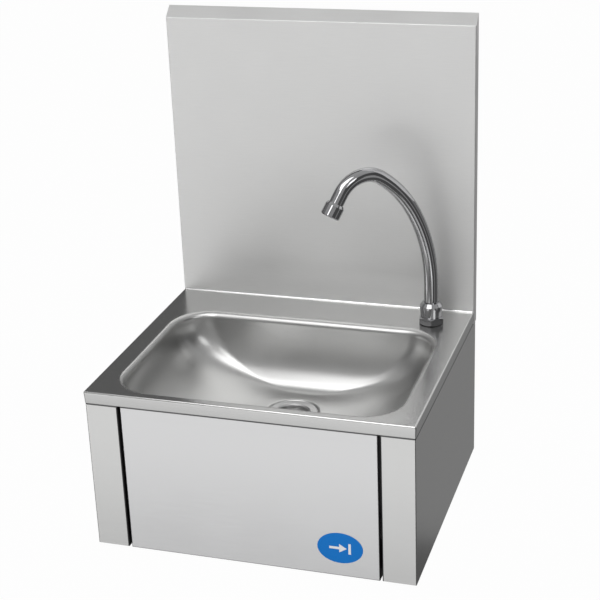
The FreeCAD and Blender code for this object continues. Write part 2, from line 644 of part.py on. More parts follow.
def make_valve_spring():
    """A round-wire compression spring between the button's cap and the bonnet's gland."""
    first_y = BUTTON_Y + BUTTON_CAP + SPRING_WIRE_R + SPRING_END_GAP
    last_y = GLAND_Y[0] - SPRING_WIRE_R - SPRING_END_GAP
    pitch = (last_y - first_y) / SPRING_TURNS
    climb = pitch / (2 * math.pi)
    norm = math.hypot(SPRING_MEAN_R, climb)

    def point(angle):
        return Vector(VALVE_X + SPRING_MEAN_R * math.cos(angle), first_y + climb * angle,
                      VALVE_Z + SPRING_MEAN_R * math.sin(angle))

    def heading(angle):
        return Vector(-SPRING_MEAN_R * math.sin(angle), climb, SPRING_MEAN_R * math.cos(angle)) * (1 / norm)

    edges = []
    for quarter in range(4 * SPRING_TURNS):
        start = quarter * math.pi / 2
        end = start + math.pi / 2
        edges += biarc(point(start), heading(start), point(end), heading(end))
    least_gap = pitch * SPRING_MEAN_R / norm - 2 * SPRING_WIRE_R
    print("valve spring: pitch %.2f mm, least gap between turns %.2f mm" % (pitch, least_gap))
    return swept(Part.Wire(edges), point(0), heading(0), SPRING_WIRE_R)


# ---------------------------------------------------------------- the temperature mixer
MIXER_Y = -206.0
MIXER_R = 14.0
MIXER_HALF = 50.0          # half length of the mixer's tube
MIXER_END_WALL = 6.0
MIXER_BORE_R = 6.0
NECK_R = 12.5              # the neck that screws into the valve
NECK_BORE_R = 7.0
INLET_OFFSET = 35.0        # each inlet to the side of the mixer's middle
SOCKET_R = 11.5
SOCKET_Z = -151.0
SOCKET_FLOOR_Z = -142.0
COLUMN_R = 11.0
COLUMN_Z = -158.0
SPOOL_R = 7.95
SPOOL_Z = (-152.0, -124.5)
SPOOL_SLOT = 6.0
SPOOL_STEM_R = 4.0
GLAND_AF = 27.0
GLAND_Z = (-162.0, -149.5)
KNOB_Z = (-173.5, -163.5)
KNOB_R = 13.0
KNOB_SOCKET_Z = KNOB_Z[0] + 4.4
KNOB_FLUTES = 12
KNOB_FLUTE_R = 2.0
POINTER_FLUTE = 9          # the flute at the front, whose place the pointer takes
KNOB_SCREW_R = 1.5
KNOB_SCREW_HEAD_R = 2.8
KNOB_SCREW_HEAD_Z = KNOB_Z[0] + 2.4
UNION_AF = 24.0
UNION_TOP_R = 8.9
UNION_TOP_Z = -143.0
UNION_BORE_R = 7.0
UNION_HEX_Z = (-156.0, -151.0)
UNION_END_Z = -170.0
CHECK_VALVE_Z = (-165.0, -153.0)
CHECK_BORE_R = 5.4
FILTER_Z = (-168.5, -166.9)
CARTRIDGE_R = UNION_BORE_R - 0.1


def on_mixer(x, z):
    return Vector(VALVE_X + x, MIXER_Y, z)


def make_mixer_body():
    tube = rod(Vector(VALVE_X - MIXER_HALF, MIXER_Y, VALVE_Z), X_AXIS, MIXER_R, 2 * MIXER_HALF)
    tube = rounded(tube, 2.0, lambda at, edge: edge.Closed)
    neck = rod(on_valve(BODY_Y[1]), Y_AXIS, NECK_R, MIXER_Y - BODY_Y[1])
    neck_thread = rod(on_valve(BODY_Y[1] - NECK_THREAD), Y_AXIS, NECK_THREAD_R, EXTRA)
    column = rod(on_mixer(0, VALVE_Z), DOWN, COLUMN_R, VALVE_Z - COLUMN_Z)
    inlets = [side * INLET_OFFSET for side in (-1, 1)]
    sockets = [rod(on_mixer(x, VALVE_Z), DOWN, SOCKET_R, VALVE_Z - SOCKET_Z) for x in inlets]
    body = joined([tube, neck, neck_thread, column] + sockets)
    neck_bore_y = BODY_Y[1] - NECK_THREAD - 1
    voids = [rod(on_valve(neck_bore_y), Y_AXIS, NECK_BORE_R, MIXER_Y - neck_bore_y),
             rod(Vector(VALVE_X - MIXER_HALF + MIXER_END_WALL, MIXER_Y, VALVE_Z), X_AXIS, MIXER_BORE_R,
                 2 * (MIXER_HALF - MIXER_END_WALL)),
             rod(on_mixer(0, COLUMN_Z), Z_AXIS, SPOOL_R + RUNNING_GAP, SPOOL_Z[1] + 0.5 - COLUMN_Z)]
    for x in inlets:
        voids.append(rod(on_mixer(x, SOCKET_FLOOR_Z), DOWN, UNION_TOP_R + THREAD_GAP, EXTRA))
        voids.append(rod(on_mixer(x, VALVE_Z), DOWN, MIXER_BORE_R, EXTRA))
    for void in voids:
        body = body.cut(void)
    return body


def make_mixer_spool():
    """The turning spool: a drum with a slot that opens towards the hot or the cold side."""
    drum = rod(on_mixer(0, SPOOL_Z[0]), Z_AXIS, SPOOL_R, SPOOL_Z[1] - SPOOL_Z[0])
    slot = block((VALVE_X - SPOOL_SLOT / 2, VALVE_X + SPOOL_SLOT / 2), (MIXER_Y - EXTRA, MIXER_Y + 1),
                 (VALVE_Z - SPOOL_SLOT, VALVE_Z + SPOOL_SLOT))
    stem_end_z = KNOB_SOCKET_Z + 0.1
    stem = rod(on_mixer(0, stem_end_z), Z_AXIS, SPOOL_STEM_R, SPOOL_Z[0] - stem_end_z)
    return joined([drum.cut(slot), stem])


def make_mixer_gland_nut():
    cap = hexagon(on_mixer(0, GLAND_Z[0]), Z_AXIS, GLAND_AF, GLAND_Z[1] - GLAND_Z[0])
    thread = rod(on_mixer(0, COLUMN_Z - 0.1), Z_AXIS, COLUMN_R + THREAD_GAP, EXTRA)
    return cap.cut(thread).cut(rod(on_mixer(0, GLAND_Z[0]), Z_AXIS, SPOOL_STEM_R + RUNNING_GAP, EXTRA))


def make_mixer_knob():
    """A fluted hand knob with a raised pointer at its front."""
    bottom = on_mixer(0, KNOB_Z[0])
    knob = rod(bottom, Z_AXIS, KNOB_R, KNOB_Z[1] - KNOB_Z[0])
    flute_circle_r = KNOB_R + KNOB_FLUTE_R / 2
    for step in range(KNOB_FLUTES):
        if step == POINTER_FLUTE:
            continue
        angle = 2 * math.pi * step / KNOB_FLUTES
        offset = Vector(flute_circle_r * math.cos(angle), flute_circle_r * math.sin(angle), -1)
        knob = knob.cut(rod(bottom + offset, Z_AXIS, KNOB_FLUTE_R, EXTRA))
    pointer = block((VALVE_X - 1.5, VALVE_X + 1.5), (MIXER_Y - KNOB_R - 3, MIXER_Y - KNOB_R + 2), KNOB_Z)
    knob = joined([knob, pointer])
    knob = knob.cut(rod(on_mixer(0, KNOB_SOCKET_Z), Z_AXIS, SPOOL_STEM_R + THREAD_GAP, EXTRA))
    knob = knob.cut(rod(bottom, Z_AXIS, KNOB_SCREW_R + LOOSE_GAP, EXTRA))
    return knob.cut(rod(bottom, Z_AXIS, KNOB_SCREW_HEAD_R + LOOSE_GAP, KNOB_SCREW_HEAD_Z - KNOB_Z[0]))


def make_knob_screw():
    head_z = (KNOB_Z[0] + 0.3, KNOB_SCREW_HEAD_Z)
    head = rod(on_mixer(0, head_z[0]), Z_AXIS, KNOB_SCREW_HEAD_R, head_z[1] - head_z[0])
    slot = block((VALVE_X - 0.4, VALVE_X + 0.4), (MIXER_Y - 3, MIXER_Y + 3), (KNOB_Z[0], head_z[0] + 0.9))
    shank = rod(on_mixer(0, head_z[0] + 1), Z_AXIS, KNOB_SCREW_R, KNOB_SOCKET_Z - head_z[0] - 1)
    return joined([head, shank]).cut(slot)


def make_inlet_union(side):
    """A G1/2 union that hangs from one of the mixer's two sockets."""
    def layer(radius, z):
        return rod(on_mixer(side * INLET_OFFSET, z[0]), Z_AXIS, radius, z[1] - z[0])

    top = layer(UNION_TOP_R, (UNION_HEX_Z[0], UNION_TOP_Z))
    grip = hexagon(on_mixer(side * INLET_OFFSET, UNION_HEX_Z[0]), Z_AXIS, UNION_AF,
                   UNION_HEX_Z[1] - UNION_HEX_Z[0])
    tail = layer(HALF_INCH_R, (UNION_END_Z, UNION_HEX_Z[1]))
    return joined([top, grip, tail]).cut(layer(UNION_BORE_R, (UNION_END_Z, 0)))


def make_check_valves():
    """Non-return cartridges in the unions: a sleeve with a guide web and a small closing cone."""
    cartridges = []
    for side in (-1, 1):
        x = side * INLET_OFFSET
        bottom, top = CHECK_VALVE_Z
        sleeve = ring(on_mixer(x, bottom), Z_AXIS, CARTRIDGE_R, CHECK_BORE_R, top - bottom)
        web_reach = CHECK_BORE_R + 0.5
        web = block((VALVE_X + x - web_reach, VALVE_X + x + web_reach), (MIXER_Y - 0.6, MIXER_Y + 0.6),
                    (top - 4, top - 1))
        cone = Part.makeCone(2.0, CHECK_BORE_R - 0.4, 4.0, on_mixer(x, bottom + 4), Z_AXIS)
        stem = rod(on_mixer(x, bottom + 7), Z_AXIS, 1.2, 4)
        cartridges.append(joined([sleeve, web, cone, stem]))
    return Part.makeCompound(cartridges)


def make_inlet_filters():
    """Flat strainer discs at the mouths of the unions."""
    discs = []
    for side in (-1, 1):
        place = on_mixer(side * INLET_OFFSET, FILTER_Z[0])
        disc = rod(place, Z_AXIS, CARTRIDGE_R, FILTER_Z[1] - FILTER_Z[0])
        holes = 6
        circle_r = 0.56 * CARTRIDGE_R
        for step in range(holes):
            angle = 2 * math.pi * step / holes
            hole = place + Vector(circle_r * math.cos(angle), circle_r * math.sin(angle), 0)
            disc = disc.cut(rod(hole, Z_AXIS, circle_r / 3, EXTRA))
        discs.append(disc)
    return Part.makeCompound(discs)


# ---------------------------------------------------------------- the hose to the spout
HOSE_R = 6.0
HOSE_BORE_R = 4.0
HOSE_START_X = VALVE_X + 33.0
HOSE_END_Z = -29.0
HOSE_SIDE_BEND = 90.0
HOSE_RISE_BEND = 60.0
HOSE_NUT_AF = 24.0
HOSE_NUT_LENGTH = 16.0
HOSE_NUT_THREAD = 11.0
FERRULE_R = 7.4
FERRULE_LENGTH = 16.0
SHANK_END_Z = -26.0
DIAGONAL = math.sqrt(0.5)


def make_outlet_hose():
    """A braided hose from the valve, level past the waste, then back and up to the spout's shank."""
    start = Vector(HOSE_START_X, OUTLET_Y, VALVE_Z)
    bend_start = Vector(SPOUT_X - HOSE_SIDE_BEND, OUTLET_Y, VALVE_Z)
    bend_middle = bend_start + Vector(HOSE_SIDE_BEND * DIAGONAL, HOSE_SIDE_BEND * (1 - DIAGONAL), 0)
    bend_end = bend_start + Vector(HOSE_SIDE_BEND, HOSE_SIDE_BEND, 0)
    rise_start = Vector(SPOUT_X, SPOUT_Y - HOSE_RISE_BEND, VALVE_Z)
    rise_middle = rise_start + Vector(0, HOSE_RISE_BEND * DIAGONAL, HOSE_RISE_BEND * (1 - DIAGONAL))
    rise_end = rise_start + Vector(0, HOSE_RISE_BEND, HOSE_RISE_BEND)
    end = Vector(SPOUT_X, SPOUT_Y, HOSE_END_Z)
    route = tube_route([start, ("line", bend_start), ("arc", bend_middle, bend_end), ("line", rise_start),
                        ("arc", rise_middle, rise_end), ("line", end)])
    hose = swept(route, start, X_AXIS, HOSE_R).cut(swept(route, start, X_AXIS, HOSE_BORE_R))
    print("outlet hose: length %.0f mm, bends of %.0f and %.0f mm radius"
          % (route.Length, HOSE_SIDE_BEND, HOSE_RISE_BEND))
    return hose


def make_hose_nuts():
    def hose_nut(start, direction):
        body = nut(start, direction, HOSE_NUT_AF, HOSE_R + LOOSE_GAP, HOSE_NUT_LENGTH)
        return body.cut(rod(start, direction, HALF_INCH_R + THREAD_GAP, HOSE_NUT_THREAD))

    valve_end = Vector(VALVE_X + OUTLET_END - HOSE_NUT_THREAD + 1, OUTLET_Y, VALVE_Z)
    spout_end = Vector(SPOUT_X, SPOUT_Y, SHANK_END_Z + HOSE_NUT_THREAD - 1)
    return Part.makeCompound([hose_nut(valve_end, X_AXIS), hose_nut(spout_end, DOWN)])


def make_hose_ferrules():
    valve_end = Vector(VALVE_X + OUTLET_END + HOSE_NUT_LENGTH - HOSE_NUT_THREAD + 1, OUTLET_Y, VALVE_Z)
    spout_end = Vector(SPOUT_X, SPOUT_Y, SHANK_END_Z - HOSE_NUT_LENGTH + HOSE_NUT_THREAD - 1)
    sleeves = [ring(place, direction, FERRULE_R, HOSE_R + RUNNING_GAP, FERRULE_LENGTH)
               for place, direction in ((valve_end, X_AXIS), (spout_end, DOWN))]
    return Part.makeCompound(sleeves)


# ---------------------------------------------------------------- the spout and its fixing
GASKET = 1.0
DECK_GASKET_R = 14.6
CLAMP_R = 19.0             # outside radius of the gasket and washer under the deck
CLAMP_GASKET = 2.0
CLAMP_WASHER = 1.5
LOCKNUT = 8.0
NUT_AF = 30.0
NUT_HEX_TOP_Z = DECK_Z + 10.0
NUT_TURN = 42.5            # degrees, so that a corner of the hexagon faces the front right
WAIST = ((13.6, 10.0), (13.9, 14.0), (14.4, 22.0), (14.4, 24.5), (11.2, 29.0))    # radius, above the deck
SHANK_TOP_Z = DECK_Z + 17.0
SHANK_HEAD_R = 12.0
SHANK_FLANGE_R = 14.0
SHANK_FLANGE = 2.0
SHANK_BORE_R = 6.5
COLLAR_R = 11.3
COLLAR_Z = (SHANK_TOP_Z + 0.3, SHANK_TOP_Z + 3.3)
SLIP_RING_Z = (COLLAR_Z[1] + 0.1, COLLAR_Z[1] + 1.7)
SHANK_SOCKET_Z = DECK_Z - 20.0
ORING_HEIGHTS = (DECK_Z + 5.0, DECK_Z + 11.0)
ORING_CORD_R = 0.9
ORING_MEAN_R = SPOUT_R + RUNNING_GAP + ORING_CORD_R
ORING_GROOVE = 2.2
NOZZLE_SOCKET = 8.0        # how far the tube runs into the nozzle
NOZZLE_R = 12.0
NOZZLE_BORE_R = 9.9
NOZZLE_THROAT_R = 8.0
INSERT_LENGTH = 7.0
INSERT_SEAL = 1.0


def spout_base(z):
    return Vector(SPOUT_X, SPOUT_Y, z)


def spout_plane(reach, z):
    """A point in the spout's upright plane: reach out from its base, and height."""
    return Vector(SPOUT_X + reach * math.cos(SPOUT_HEADING), SPOUT_Y + reach * math.sin(SPOUT_HEADING), z)


def spout_line(tail):
    """The tube's centre line from its socket to `tail` past the last bend, and the tail's heading."""
    reach = 0.0
    height = DECK_Z + SPOUT_RISE
    lean = 0.0
    steps = [spout_base(SHANK_SOCKET_Z + 1), ("line", spout_plane(reach, height))]
    for radius, degrees in SPOUT_BENDS:
        turn = math.radians(degrees)
        centre_reach = reach + radius * math.cos(lean)
        centre_height = height - radius * math.sin(lean)

        def at(angle):
            return centre_reach - radius * math.cos(angle), centre_height + radius * math.sin(angle)

        middle = spout_plane(*at(lean + turn / 2))
        reach, height = at(lean + turn)
        lean += turn
        steps.append(("arc", middle, spout_plane(reach, height)))
    out = math.sin(lean)
    up = math.cos(lean)
    end = spout_plane(reach + tail * out, height + tail * up)
    steps.append(("line", end))
    heading = Vector(out * math.cos(SPOUT_HEADING), out * math.sin(SPOUT_HEADING), up)
    return steps, end, heading


def make_spout_tube():
    steps, end, heading = spout_line(SPOUT_TAIL - NOZZLE_LENGTH + NOZZLE_SOCKET)
    route = tube_route(steps)
    tube = swept(route, steps[0], Z_AXIS, SPOUT_R).cut(swept(route, steps[0], Z_AXIS, SPOUT_BORE_R))
    collar = ring(spout_base(COLLAR_Z[0]), Z_AXIS, COLLAR_R, SPOUT_R - 0.5, COLLAR_Z[1] - COLLAR_Z[0])
    return joined([tube, collar])


def make_aerator_housing():
    """The nozzle: a chamfered shoulder, a band and a rounded mouth, turned in one piece."""
    mouth, heading = spout_line(SPOUT_TAIL)[1:]
    length = NOZZLE_LENGTH
    socket_r = SPOUT_R + THREAD_GAP
    socket_end = NOZZLE_SOCKET + 0.2
    bore_start = NOZZLE_SOCKET + 0.6
    mouth_edge = 1.2
    profile = [(socket_r, 0), (10.2, 0), (NOZZLE_R, 3.2), (NOZZLE_R, length - mouth_edge),
               (NOZZLE_R - mouth_edge, length), (NOZZLE_BORE_R, length), (NOZZLE_BORE_R, bore_start),
               (NOZZLE_THROAT_R, bore_start), (NOZZLE_THROAT_R, socket_end), (socket_r, socket_end)]
    return turned(profile, mouth - heading * length, heading)


def make_aerator_seal():
    mouth, heading = spout_line(SPOUT_TAIL)[1:]
    start = mouth - heading * (NOZZLE_LENGTH - NOZZLE_SOCKET - 0.65)
    return ring(start, heading, NOZZLE_BORE_R - 0.1, NOZZLE_THROAT_R, INSERT_SEAL)


def make_aerator_insert():
    """The aerator cartridge: a cup whose outer end is a perforated disc."""
    mouth, heading = spout_line(SPOUT_TAIL)[1:]
    start = mouth - heading * (NOZZLE_LENGTH - NOZZLE_SOCKET - 1.7)
    floor = 1.6
    hole_r = 0.9
    cup = rod(start, heading, NOZZLE_BORE_R - 0.2, INSERT_LENGTH)
    cup = cup.cut(rod(start, heading, NOZZLE_BORE_R - 1.7, INSERT_LENGTH - floor))
    across = FreeCAD.Rotation(Z_AXIS, heading)
    for count, radius in ((1, 0.0), (6, 3.0), (12, 6.0)):
        for step in range(count):
            angle = 2 * math.pi * step / count
            hole = across.multVec(Vector(radius * math.cos(angle), radius * math.sin(angle), 0))
            cup = cup.cut(rod(start + hole, heading, hole_r, INSERT_LENGTH))
    return cup


def make_spout_swivel_nut():
    """A hexagon grip below and a waisted round shoulder above, bored for the shank and the tube."""
    bottom = DECK_Z + GASKET
    grip = hexagon(spout_base(bottom), Z_AXIS, NUT_AF, NUT_HEX_TOP_Z - bottom, NUT_TURN)
    outline = [(radius, DECK_Z + height) for radius, height in WAIST]
    waist = [(0, outline[0][1])] + outline + [(0, outline[-1][1])]
    body = joined([grip, turned(waist, spout_base(0), Z_AXIS)])
    thread = rod(spout_base(bottom), Z_AXIS, SHANK_HEAD_R + THREAD_GAP, SLIP_RING_Z[1] + 0.1 - bottom)
    flange_room = rod(spout_base(bottom), Z_AXIS, SHANK_FLANGE_R + LOOSE_GAP, SHANK_FLANGE + LOOSE_GAP)
    tube_hole = rod(spout_base(bottom), Z_AXIS, SPOUT_R + LOOSE_GAP, 2 * EXTRA)
    return body.cut(thread).cut(flange_room).cut(tube_hole)


def make_spout_shank():
    bottom = DECK_Z + GASKET
    flange = rod(spout_base(bottom), Z_AXIS, SHANK_FLANGE_R, SHANK_FLANGE)
    head = rod(spout_base(bottom), Z_AXIS, SHANK_HEAD_R, SHANK_TOP_Z - bottom)
    tail = rod(spout_base(SHANK_END_Z), Z_AXIS, HALF_INCH_R, bottom - SHANK_END_Z)
    shank = joined([flange, head, tail])
    shank = shank.cut(rod(spout_base(SHANK_SOCKET_Z), Z_AXIS, SPOUT_R + RUNNING_GAP, 2 * LIP + EXTRA))
    shank = shank.cut(rod(spout_base(SHANK_END_Z), Z_AXIS, SHANK_BORE_R, 2 * LIP + EXTRA))
    groove_r = ORING_MEAN_R + ORING_CORD_R + RUNNING_GAP
    for height in ORING_HEIGHTS:
        shank = shank.cut(rod(spout_base(height - ORING_GROOVE / 2), Z_AXIS, groove_r, ORING_GROOVE))
    return shank


def make_spout_o_rings():
    rings = [Part.makeTorus(ORING_MEAN_R, ORING_CORD_R, spout_base(height), Z_AXIS)
             for height in ORING_HEIGHTS]
    return Part.makeCompound(rings)


def make_spout_slip_ring():
    return ring(spout_base(SLIP_RING_Z[0]), Z_AXIS, COLLAR_R, SPOUT_R + 0.1, SLIP_RING_Z[1] - SLIP_RING_Z[0])


def make_deck_gasket():
    return ring(spout_base(DECK_Z), Z_AXIS, DECK_GASKET_R, SPOUT_HOLE_R, GASKET)


def make_shank_gasket():
    return ring(spout_base(DECK_UNDER_Z), DOWN, CLAMP_R, SPOUT_HOLE_R, CLAMP_GASKET)


def make_shank_washer():
    return ring(spout_base(DECK_UNDER_Z - CLAMP_GASKET), DOWN, CLAMP_R, SPOUT_HOLE_R, CLAMP_WASHER)


def make_shank_locknut():
    top = spout_base(DECK_UNDER_Z - CLAMP_GASKET - CLAMP_WASHER)
    return nut(top, DOWN, NUT_AF, HALF_INCH_R + THREAD_GAP, LOCKNUT)


# ---------------------------------------------------------------- the waste
WASTE_FLANGE_R = 32.0
RECESS_Z = BOWL_FLOOR_Z - DRAIN_RECESS
GRID_Z = RECESS_Z - 6.0
GRID_SHEET = 1.5
GRID_R = 21.0
GRID_RINGS = ((8, 9.0), (14, 16.0))    # number of holes, radius of their circle
GRID_HOLE_R = 2.4
WASTE_SCREW_R = 3.0
WASTE_GASKETS = (1.0, 2.0)             # above and below the bowl's sheet
WASTE_GASKET_R = 31.0
WASTE_CUP_Z = (RECESS_Z - SHEET - WASTE_GASKETS[1], -83.0)
WASTE_CUP_R = 25.5
WASTE_CUP_BORE_R = 23.2
WASTE_BORE_R = 21.0
WASTE_END_Z = -130.0
WASTE_THREAD = 18.0
BRIDGE_Z = (-92.0, -82.0)
BRIDGE_BOSS_R = 6.0
BRIDGE_SPOKE = 3.0


def on_waste(z):
    return Vector(0, DRAIN_Y, z)


def make_waste_flange():
    """The perforated grid, dished below a flat flange that sits in the bowl's recess."""
    flange_z = RECESS_Z + WASTE_GASKETS[0]
    grid_top = GRID_Z + GRID_SHEET
    profile = [(0, GRID_Z), (GRID_R + GRID_SHEET, GRID_Z), (GRID_R + GRID_SHEET, flange_z),
               (WASTE_FLANGE_R, flange_z), (WASTE_FLANGE_R, flange_z + 0.6),
               (WASTE_FLANGE_R - 1, flange_z + 1.4), (GRID_R + 2, flange_z + 1.4), (GRID_R, flange_z),
               (GRID_R, grid_top), (0, grid_top)]
    flange = turned(profile, on_waste(0), Z_AXIS)
    flange = flange.cut(rod(on_waste(GRID_Z), Z_AXIS, WASTE_SCREW_R + LOOSE_GAP, EXTRA))
    for count, radius in GRID_RINGS:
        for step in range(count):
            angle = 2 * math.pi * step / count
            place = on_waste(GRID_Z) + Vector(radius * math.cos(angle), radius * math.sin(angle), 0)
            flange = flange.cut(rod(place, Z_AXIS, GRID_HOLE_R, EXTRA))
    return flange


def make_waste_upper_gasket():
    return ring(on_waste(RECESS_Z), Z_AXIS, WASTE_GASKET_R, DRAIN_HOLE_R, WASTE_GASKETS[0])


def make_waste_lower_gasket():
    return ring(on_waste(WASTE_CUP_Z[0]), Z_AXIS, WASTE_GASKET_R, DRAIN_HOLE_R, WASTE_GASKETS[1])


def make_waste_body():
    """The cup under the bowl, drawn in to the threaded tail, with a bridge for the screw."""
    top, shoulder = WASTE_CUP_Z
    thread_z = WASTE_END_Z + WASTE_THREAD
    profile = [(WASTE_CUP_BORE_R, top), (WASTE_FLANGE_R, top), (WASTE_FLANGE_R, top - 4),
               (WASTE_CUP_R + 2, top - 9), (WASTE_CUP_R, shoulder), (WASTE_CUP_R, thread_z),
               (WASTE_R, thread_z), (WASTE_R, WASTE_END_Z), (WASTE_BORE_R, WASTE_END_Z),
               (WASTE_BORE_R, shoulder), (WASTE_CUP_BORE_R, shoulder + 4)]
    cup = turned(profile, on_waste(0), Z_AXIS)
    boss = rod(on_waste(BRIDGE_Z[0]), Z_AXIS, BRIDGE_BOSS_R, BRIDGE_Z[1] - BRIDGE_Z[0])
    spokes = []
    for step in range(3):
        spoke = block((0, (WASTE_BORE_R + WASTE_CUP_BORE_R) / 2),
                      (DRAIN_Y - BRIDGE_SPOKE / 2, DRAIN_Y + BRIDGE_SPOKE / 2), (BRIDGE_Z[0], BRIDGE_Z[1] - 2))
        spoke.rotate(on_waste(0), Z_AXIS, 120 * step)
        spokes.append(spoke)
    body = joined([cup, boss] + spokes)
    return body.cut(rod(on_waste(BRIDGE_Z[0]), Z_AXIS, WASTE_SCREW_R + THREAD_GAP, EXTRA))


def make_waste_screw():
    top = GRID_Z + GRID_SHEET
    head_r = 5.5
    outline = [(0, top), (head_r, top), (head_r, top + 1.0), (head_r - 2, top + 2.6), (0, top + 2.6)]
    head = turned(outline, on_waste(0), Z_AXIS)
    slot = block((-head_r, head_r), (DRAIN_Y - 0.6, DRAIN_Y + 0.6), (top + 1.3, top + 3))
    shank = rod(on_waste(BRIDGE_Z[0] + 1), Z_AXIS, WASTE_SCREW_R, top - BRIDGE_Z[0])
    return joined([head, shank]).cut(slot)


# ---------------------------------------------------------------- every piece under its name
PIECES = {
    "basin_top": make_basin_top,
    "splashback": make_splashback,
    "left_side_panel": lambda: mirrored(make_right_side_panel()),
    "right_side_panel": make_right_side_panel,
    "rear_top_rail": lambda: make_wall_rail(0.0, RAIL_HALF_HEIGHT),
    "rear_bottom_rail": lambda: make_wall_rail(LOWER_BOLT_Z, RAIL_HALF_HEIGHT),
    "valve_crossbar": make_valve_crossbar,
    "crossbar_studs": make_crossbar_studs,
    "crossbar_nuts": make_crossbar_nuts,
    "push_panel": make_push_panel,
    "push_label": make_push_label,
    "hinge_pins": make_hinge_pins,
    "hinge_bushes": make_hinge_bushes,
    "hinge_nuts": make_hinge_nuts,
    "panel_bumpers": make_panel_bumpers,
    "panel_stiffener": make_panel_stiffener,
    "striker_screw": make_striker_screw,
    "striker_nut": make_striker_nut,
    "striker_pad": make_striker_pad,
    "valve_button": make_valve_button,
    "valve_stem": make_valve_stem,
    "valve_poppet": make_valve_poppet,
    "poppet_seal": make_poppet_seal,
    "valve_spring": make_valve_spring,
    "valve_bonnet": make_valve_bonnet,
    "stem_seal": make_stem_seal,
    "bonnet_locknuts": make_bonnet_locknuts,
    "valve_body": make_valve_body,
    "mixer_body": make_mixer_body,
    "mixer_spool": make_mixer_spool,
    "mixer_gland_nut": make_mixer_gland_nut,
    "mixer_knob": make_mixer_knob,
    "knob_screw": make_knob_screw,
    "cold_inlet_union": lambda: make_inlet_union(1),
    "hot_inlet_union": lambda: make_inlet_union(-1),
    "check_valves": make_check_valves,
    "inlet_filters": make_inlet_filters,
    "outlet_hose": make_outlet_hose,
    "hose_nuts": make_hose_nuts,
    "hose_ferrules": make_hose_ferrules,
    "spout_tube": make_spout_tube,
    "aerator_housing": make_aerator_housing,
    "aerator_seal": make_aerator_seal,
    "aerator_insert": make_aerator_insert,
    "spout_swivel_nut": make_spout_swivel_nut,
    "spout_shank": make_spout_shank,
    "spout_o_rings": make_spout_o_rings,
    "spout_slip_ring": make_spout_slip_ring,
    "deck_gasket": make_deck_gasket,
    "shank_gasket": make_shank_gasket,
    "shank_washer": make_shank_washer,
    "shank_locknut": make_shank_locknut,
    "waste_flange": make_waste_flange,
    "waste_upper_gasket": make_waste_upper_gasket,
    "waste_lower_gasket": make_waste_lower_gasket,
    "waste_body": make_waste_body,
    "waste_screw": make_waste_screw,
}

os.makedirs("parts", exist_ok=True)
for name, make in PIECES.items():
    piece = make()
    if not piece.isValid():
        print("not valid:", name)
    piece.exportStep("parts/" + name + ".step")
    box = piece.BoundBox
    print("%-20s %2d solid  %9.0f mm3  x %7.1f %7.1f  y %7.1f %7.1f  z %7.1f %7.1f" % (
        name, len(piece.Solids), piece.Volume, box.XMin, box.XMax, box.YMin, box.YMax, box.ZMin, box.ZMax))
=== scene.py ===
import math

import bmesh
import bpy
from mathutils import Matrix, Vector


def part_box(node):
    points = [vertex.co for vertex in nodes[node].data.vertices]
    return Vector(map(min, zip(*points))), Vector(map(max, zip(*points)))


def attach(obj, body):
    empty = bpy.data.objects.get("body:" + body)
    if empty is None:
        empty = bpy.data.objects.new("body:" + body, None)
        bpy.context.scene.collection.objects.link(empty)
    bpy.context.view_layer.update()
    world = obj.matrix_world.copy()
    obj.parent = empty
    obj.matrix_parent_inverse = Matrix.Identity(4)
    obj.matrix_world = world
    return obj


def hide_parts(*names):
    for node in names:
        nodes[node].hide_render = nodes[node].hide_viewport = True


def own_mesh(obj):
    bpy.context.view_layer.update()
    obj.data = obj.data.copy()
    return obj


# A wall-hung hand wash sink of stainless steel sheet, worked by pushing its front panel.
# Metres. X runs along the wall, the sink stands out from the wall towards -Y, Z is up.

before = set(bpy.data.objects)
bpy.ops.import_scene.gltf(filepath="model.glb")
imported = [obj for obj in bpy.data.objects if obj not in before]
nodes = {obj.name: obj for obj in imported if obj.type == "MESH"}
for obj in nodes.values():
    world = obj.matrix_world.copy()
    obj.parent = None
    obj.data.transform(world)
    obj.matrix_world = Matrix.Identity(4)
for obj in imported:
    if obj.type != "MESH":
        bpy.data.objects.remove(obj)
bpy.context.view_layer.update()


# ---------------------------------------------------------------- the camera
# The sink is seen from its front right, from above: the camera's place and tilt were worked
# out from the straight edges of the sheet metal.
camera_data = bpy.data.cameras.new("camera")
camera_data.sensor_width = 36.0
camera_data.lens = 89.34
camera_data.clip_start = 0.05
camera_data.clip_end = 60.0
camera = bpy.data.objects.new("camera", camera_data)
bpy.context.scene.collection.objects.link(camera)

heading = -0.3139          # turned from straight at the wall, radians
pitch = -0.3902
roll = -0.0389
camera_place = (0.5332, -1.7659, 0.7842)
forward = Vector((math.sin(heading) * math.cos(pitch), math.cos(heading) * math.cos(pitch),
                  math.sin(pitch)))
level_right = forward.cross(Vector((0, 0, 1))).normalized()
level_up = level_right.cross(forward)
camera_right = level_right * math.cos(roll) + level_up * math.sin(roll)
camera_up = level_up * math.cos(roll) - level_right * math.sin(roll)
camera_turn = Matrix((camera_right, camera_up, -forward)).transposed()
camera.matrix_world = Matrix.Translation(camera_place) @ camera_turn.to_4x4()
bpy.context.scene.camera = camera


# ---------------------------------------------------------------- the studio
# A pale floor under a white surround, and soft boxes above and beside the sink. Cards that only
# reflections see stand for a dim room, so that the polished metal has something to show.
bpy.context.scene.view_settings.view_transform = "Standard"


def background_ray(tree):
    """A value that is 1 where the background is seen straight, in a reflection or through glass."""
    ray = tree.nodes.new("ShaderNodeLightPath")
    seen = ray.outputs["Is Camera Ray"]
    for kind in ("Is Glossy Ray", "Is Transmission Ray"):
        larger = tree.nodes.new("ShaderNodeMath")
        larger.operation = "MAXIMUM"
        tree.links.new(seen, larger.inputs[0])
        tree.links.new(ray.outputs[kind], larger.inputs[1])
        seen = larger.outputs[0]
    return seen


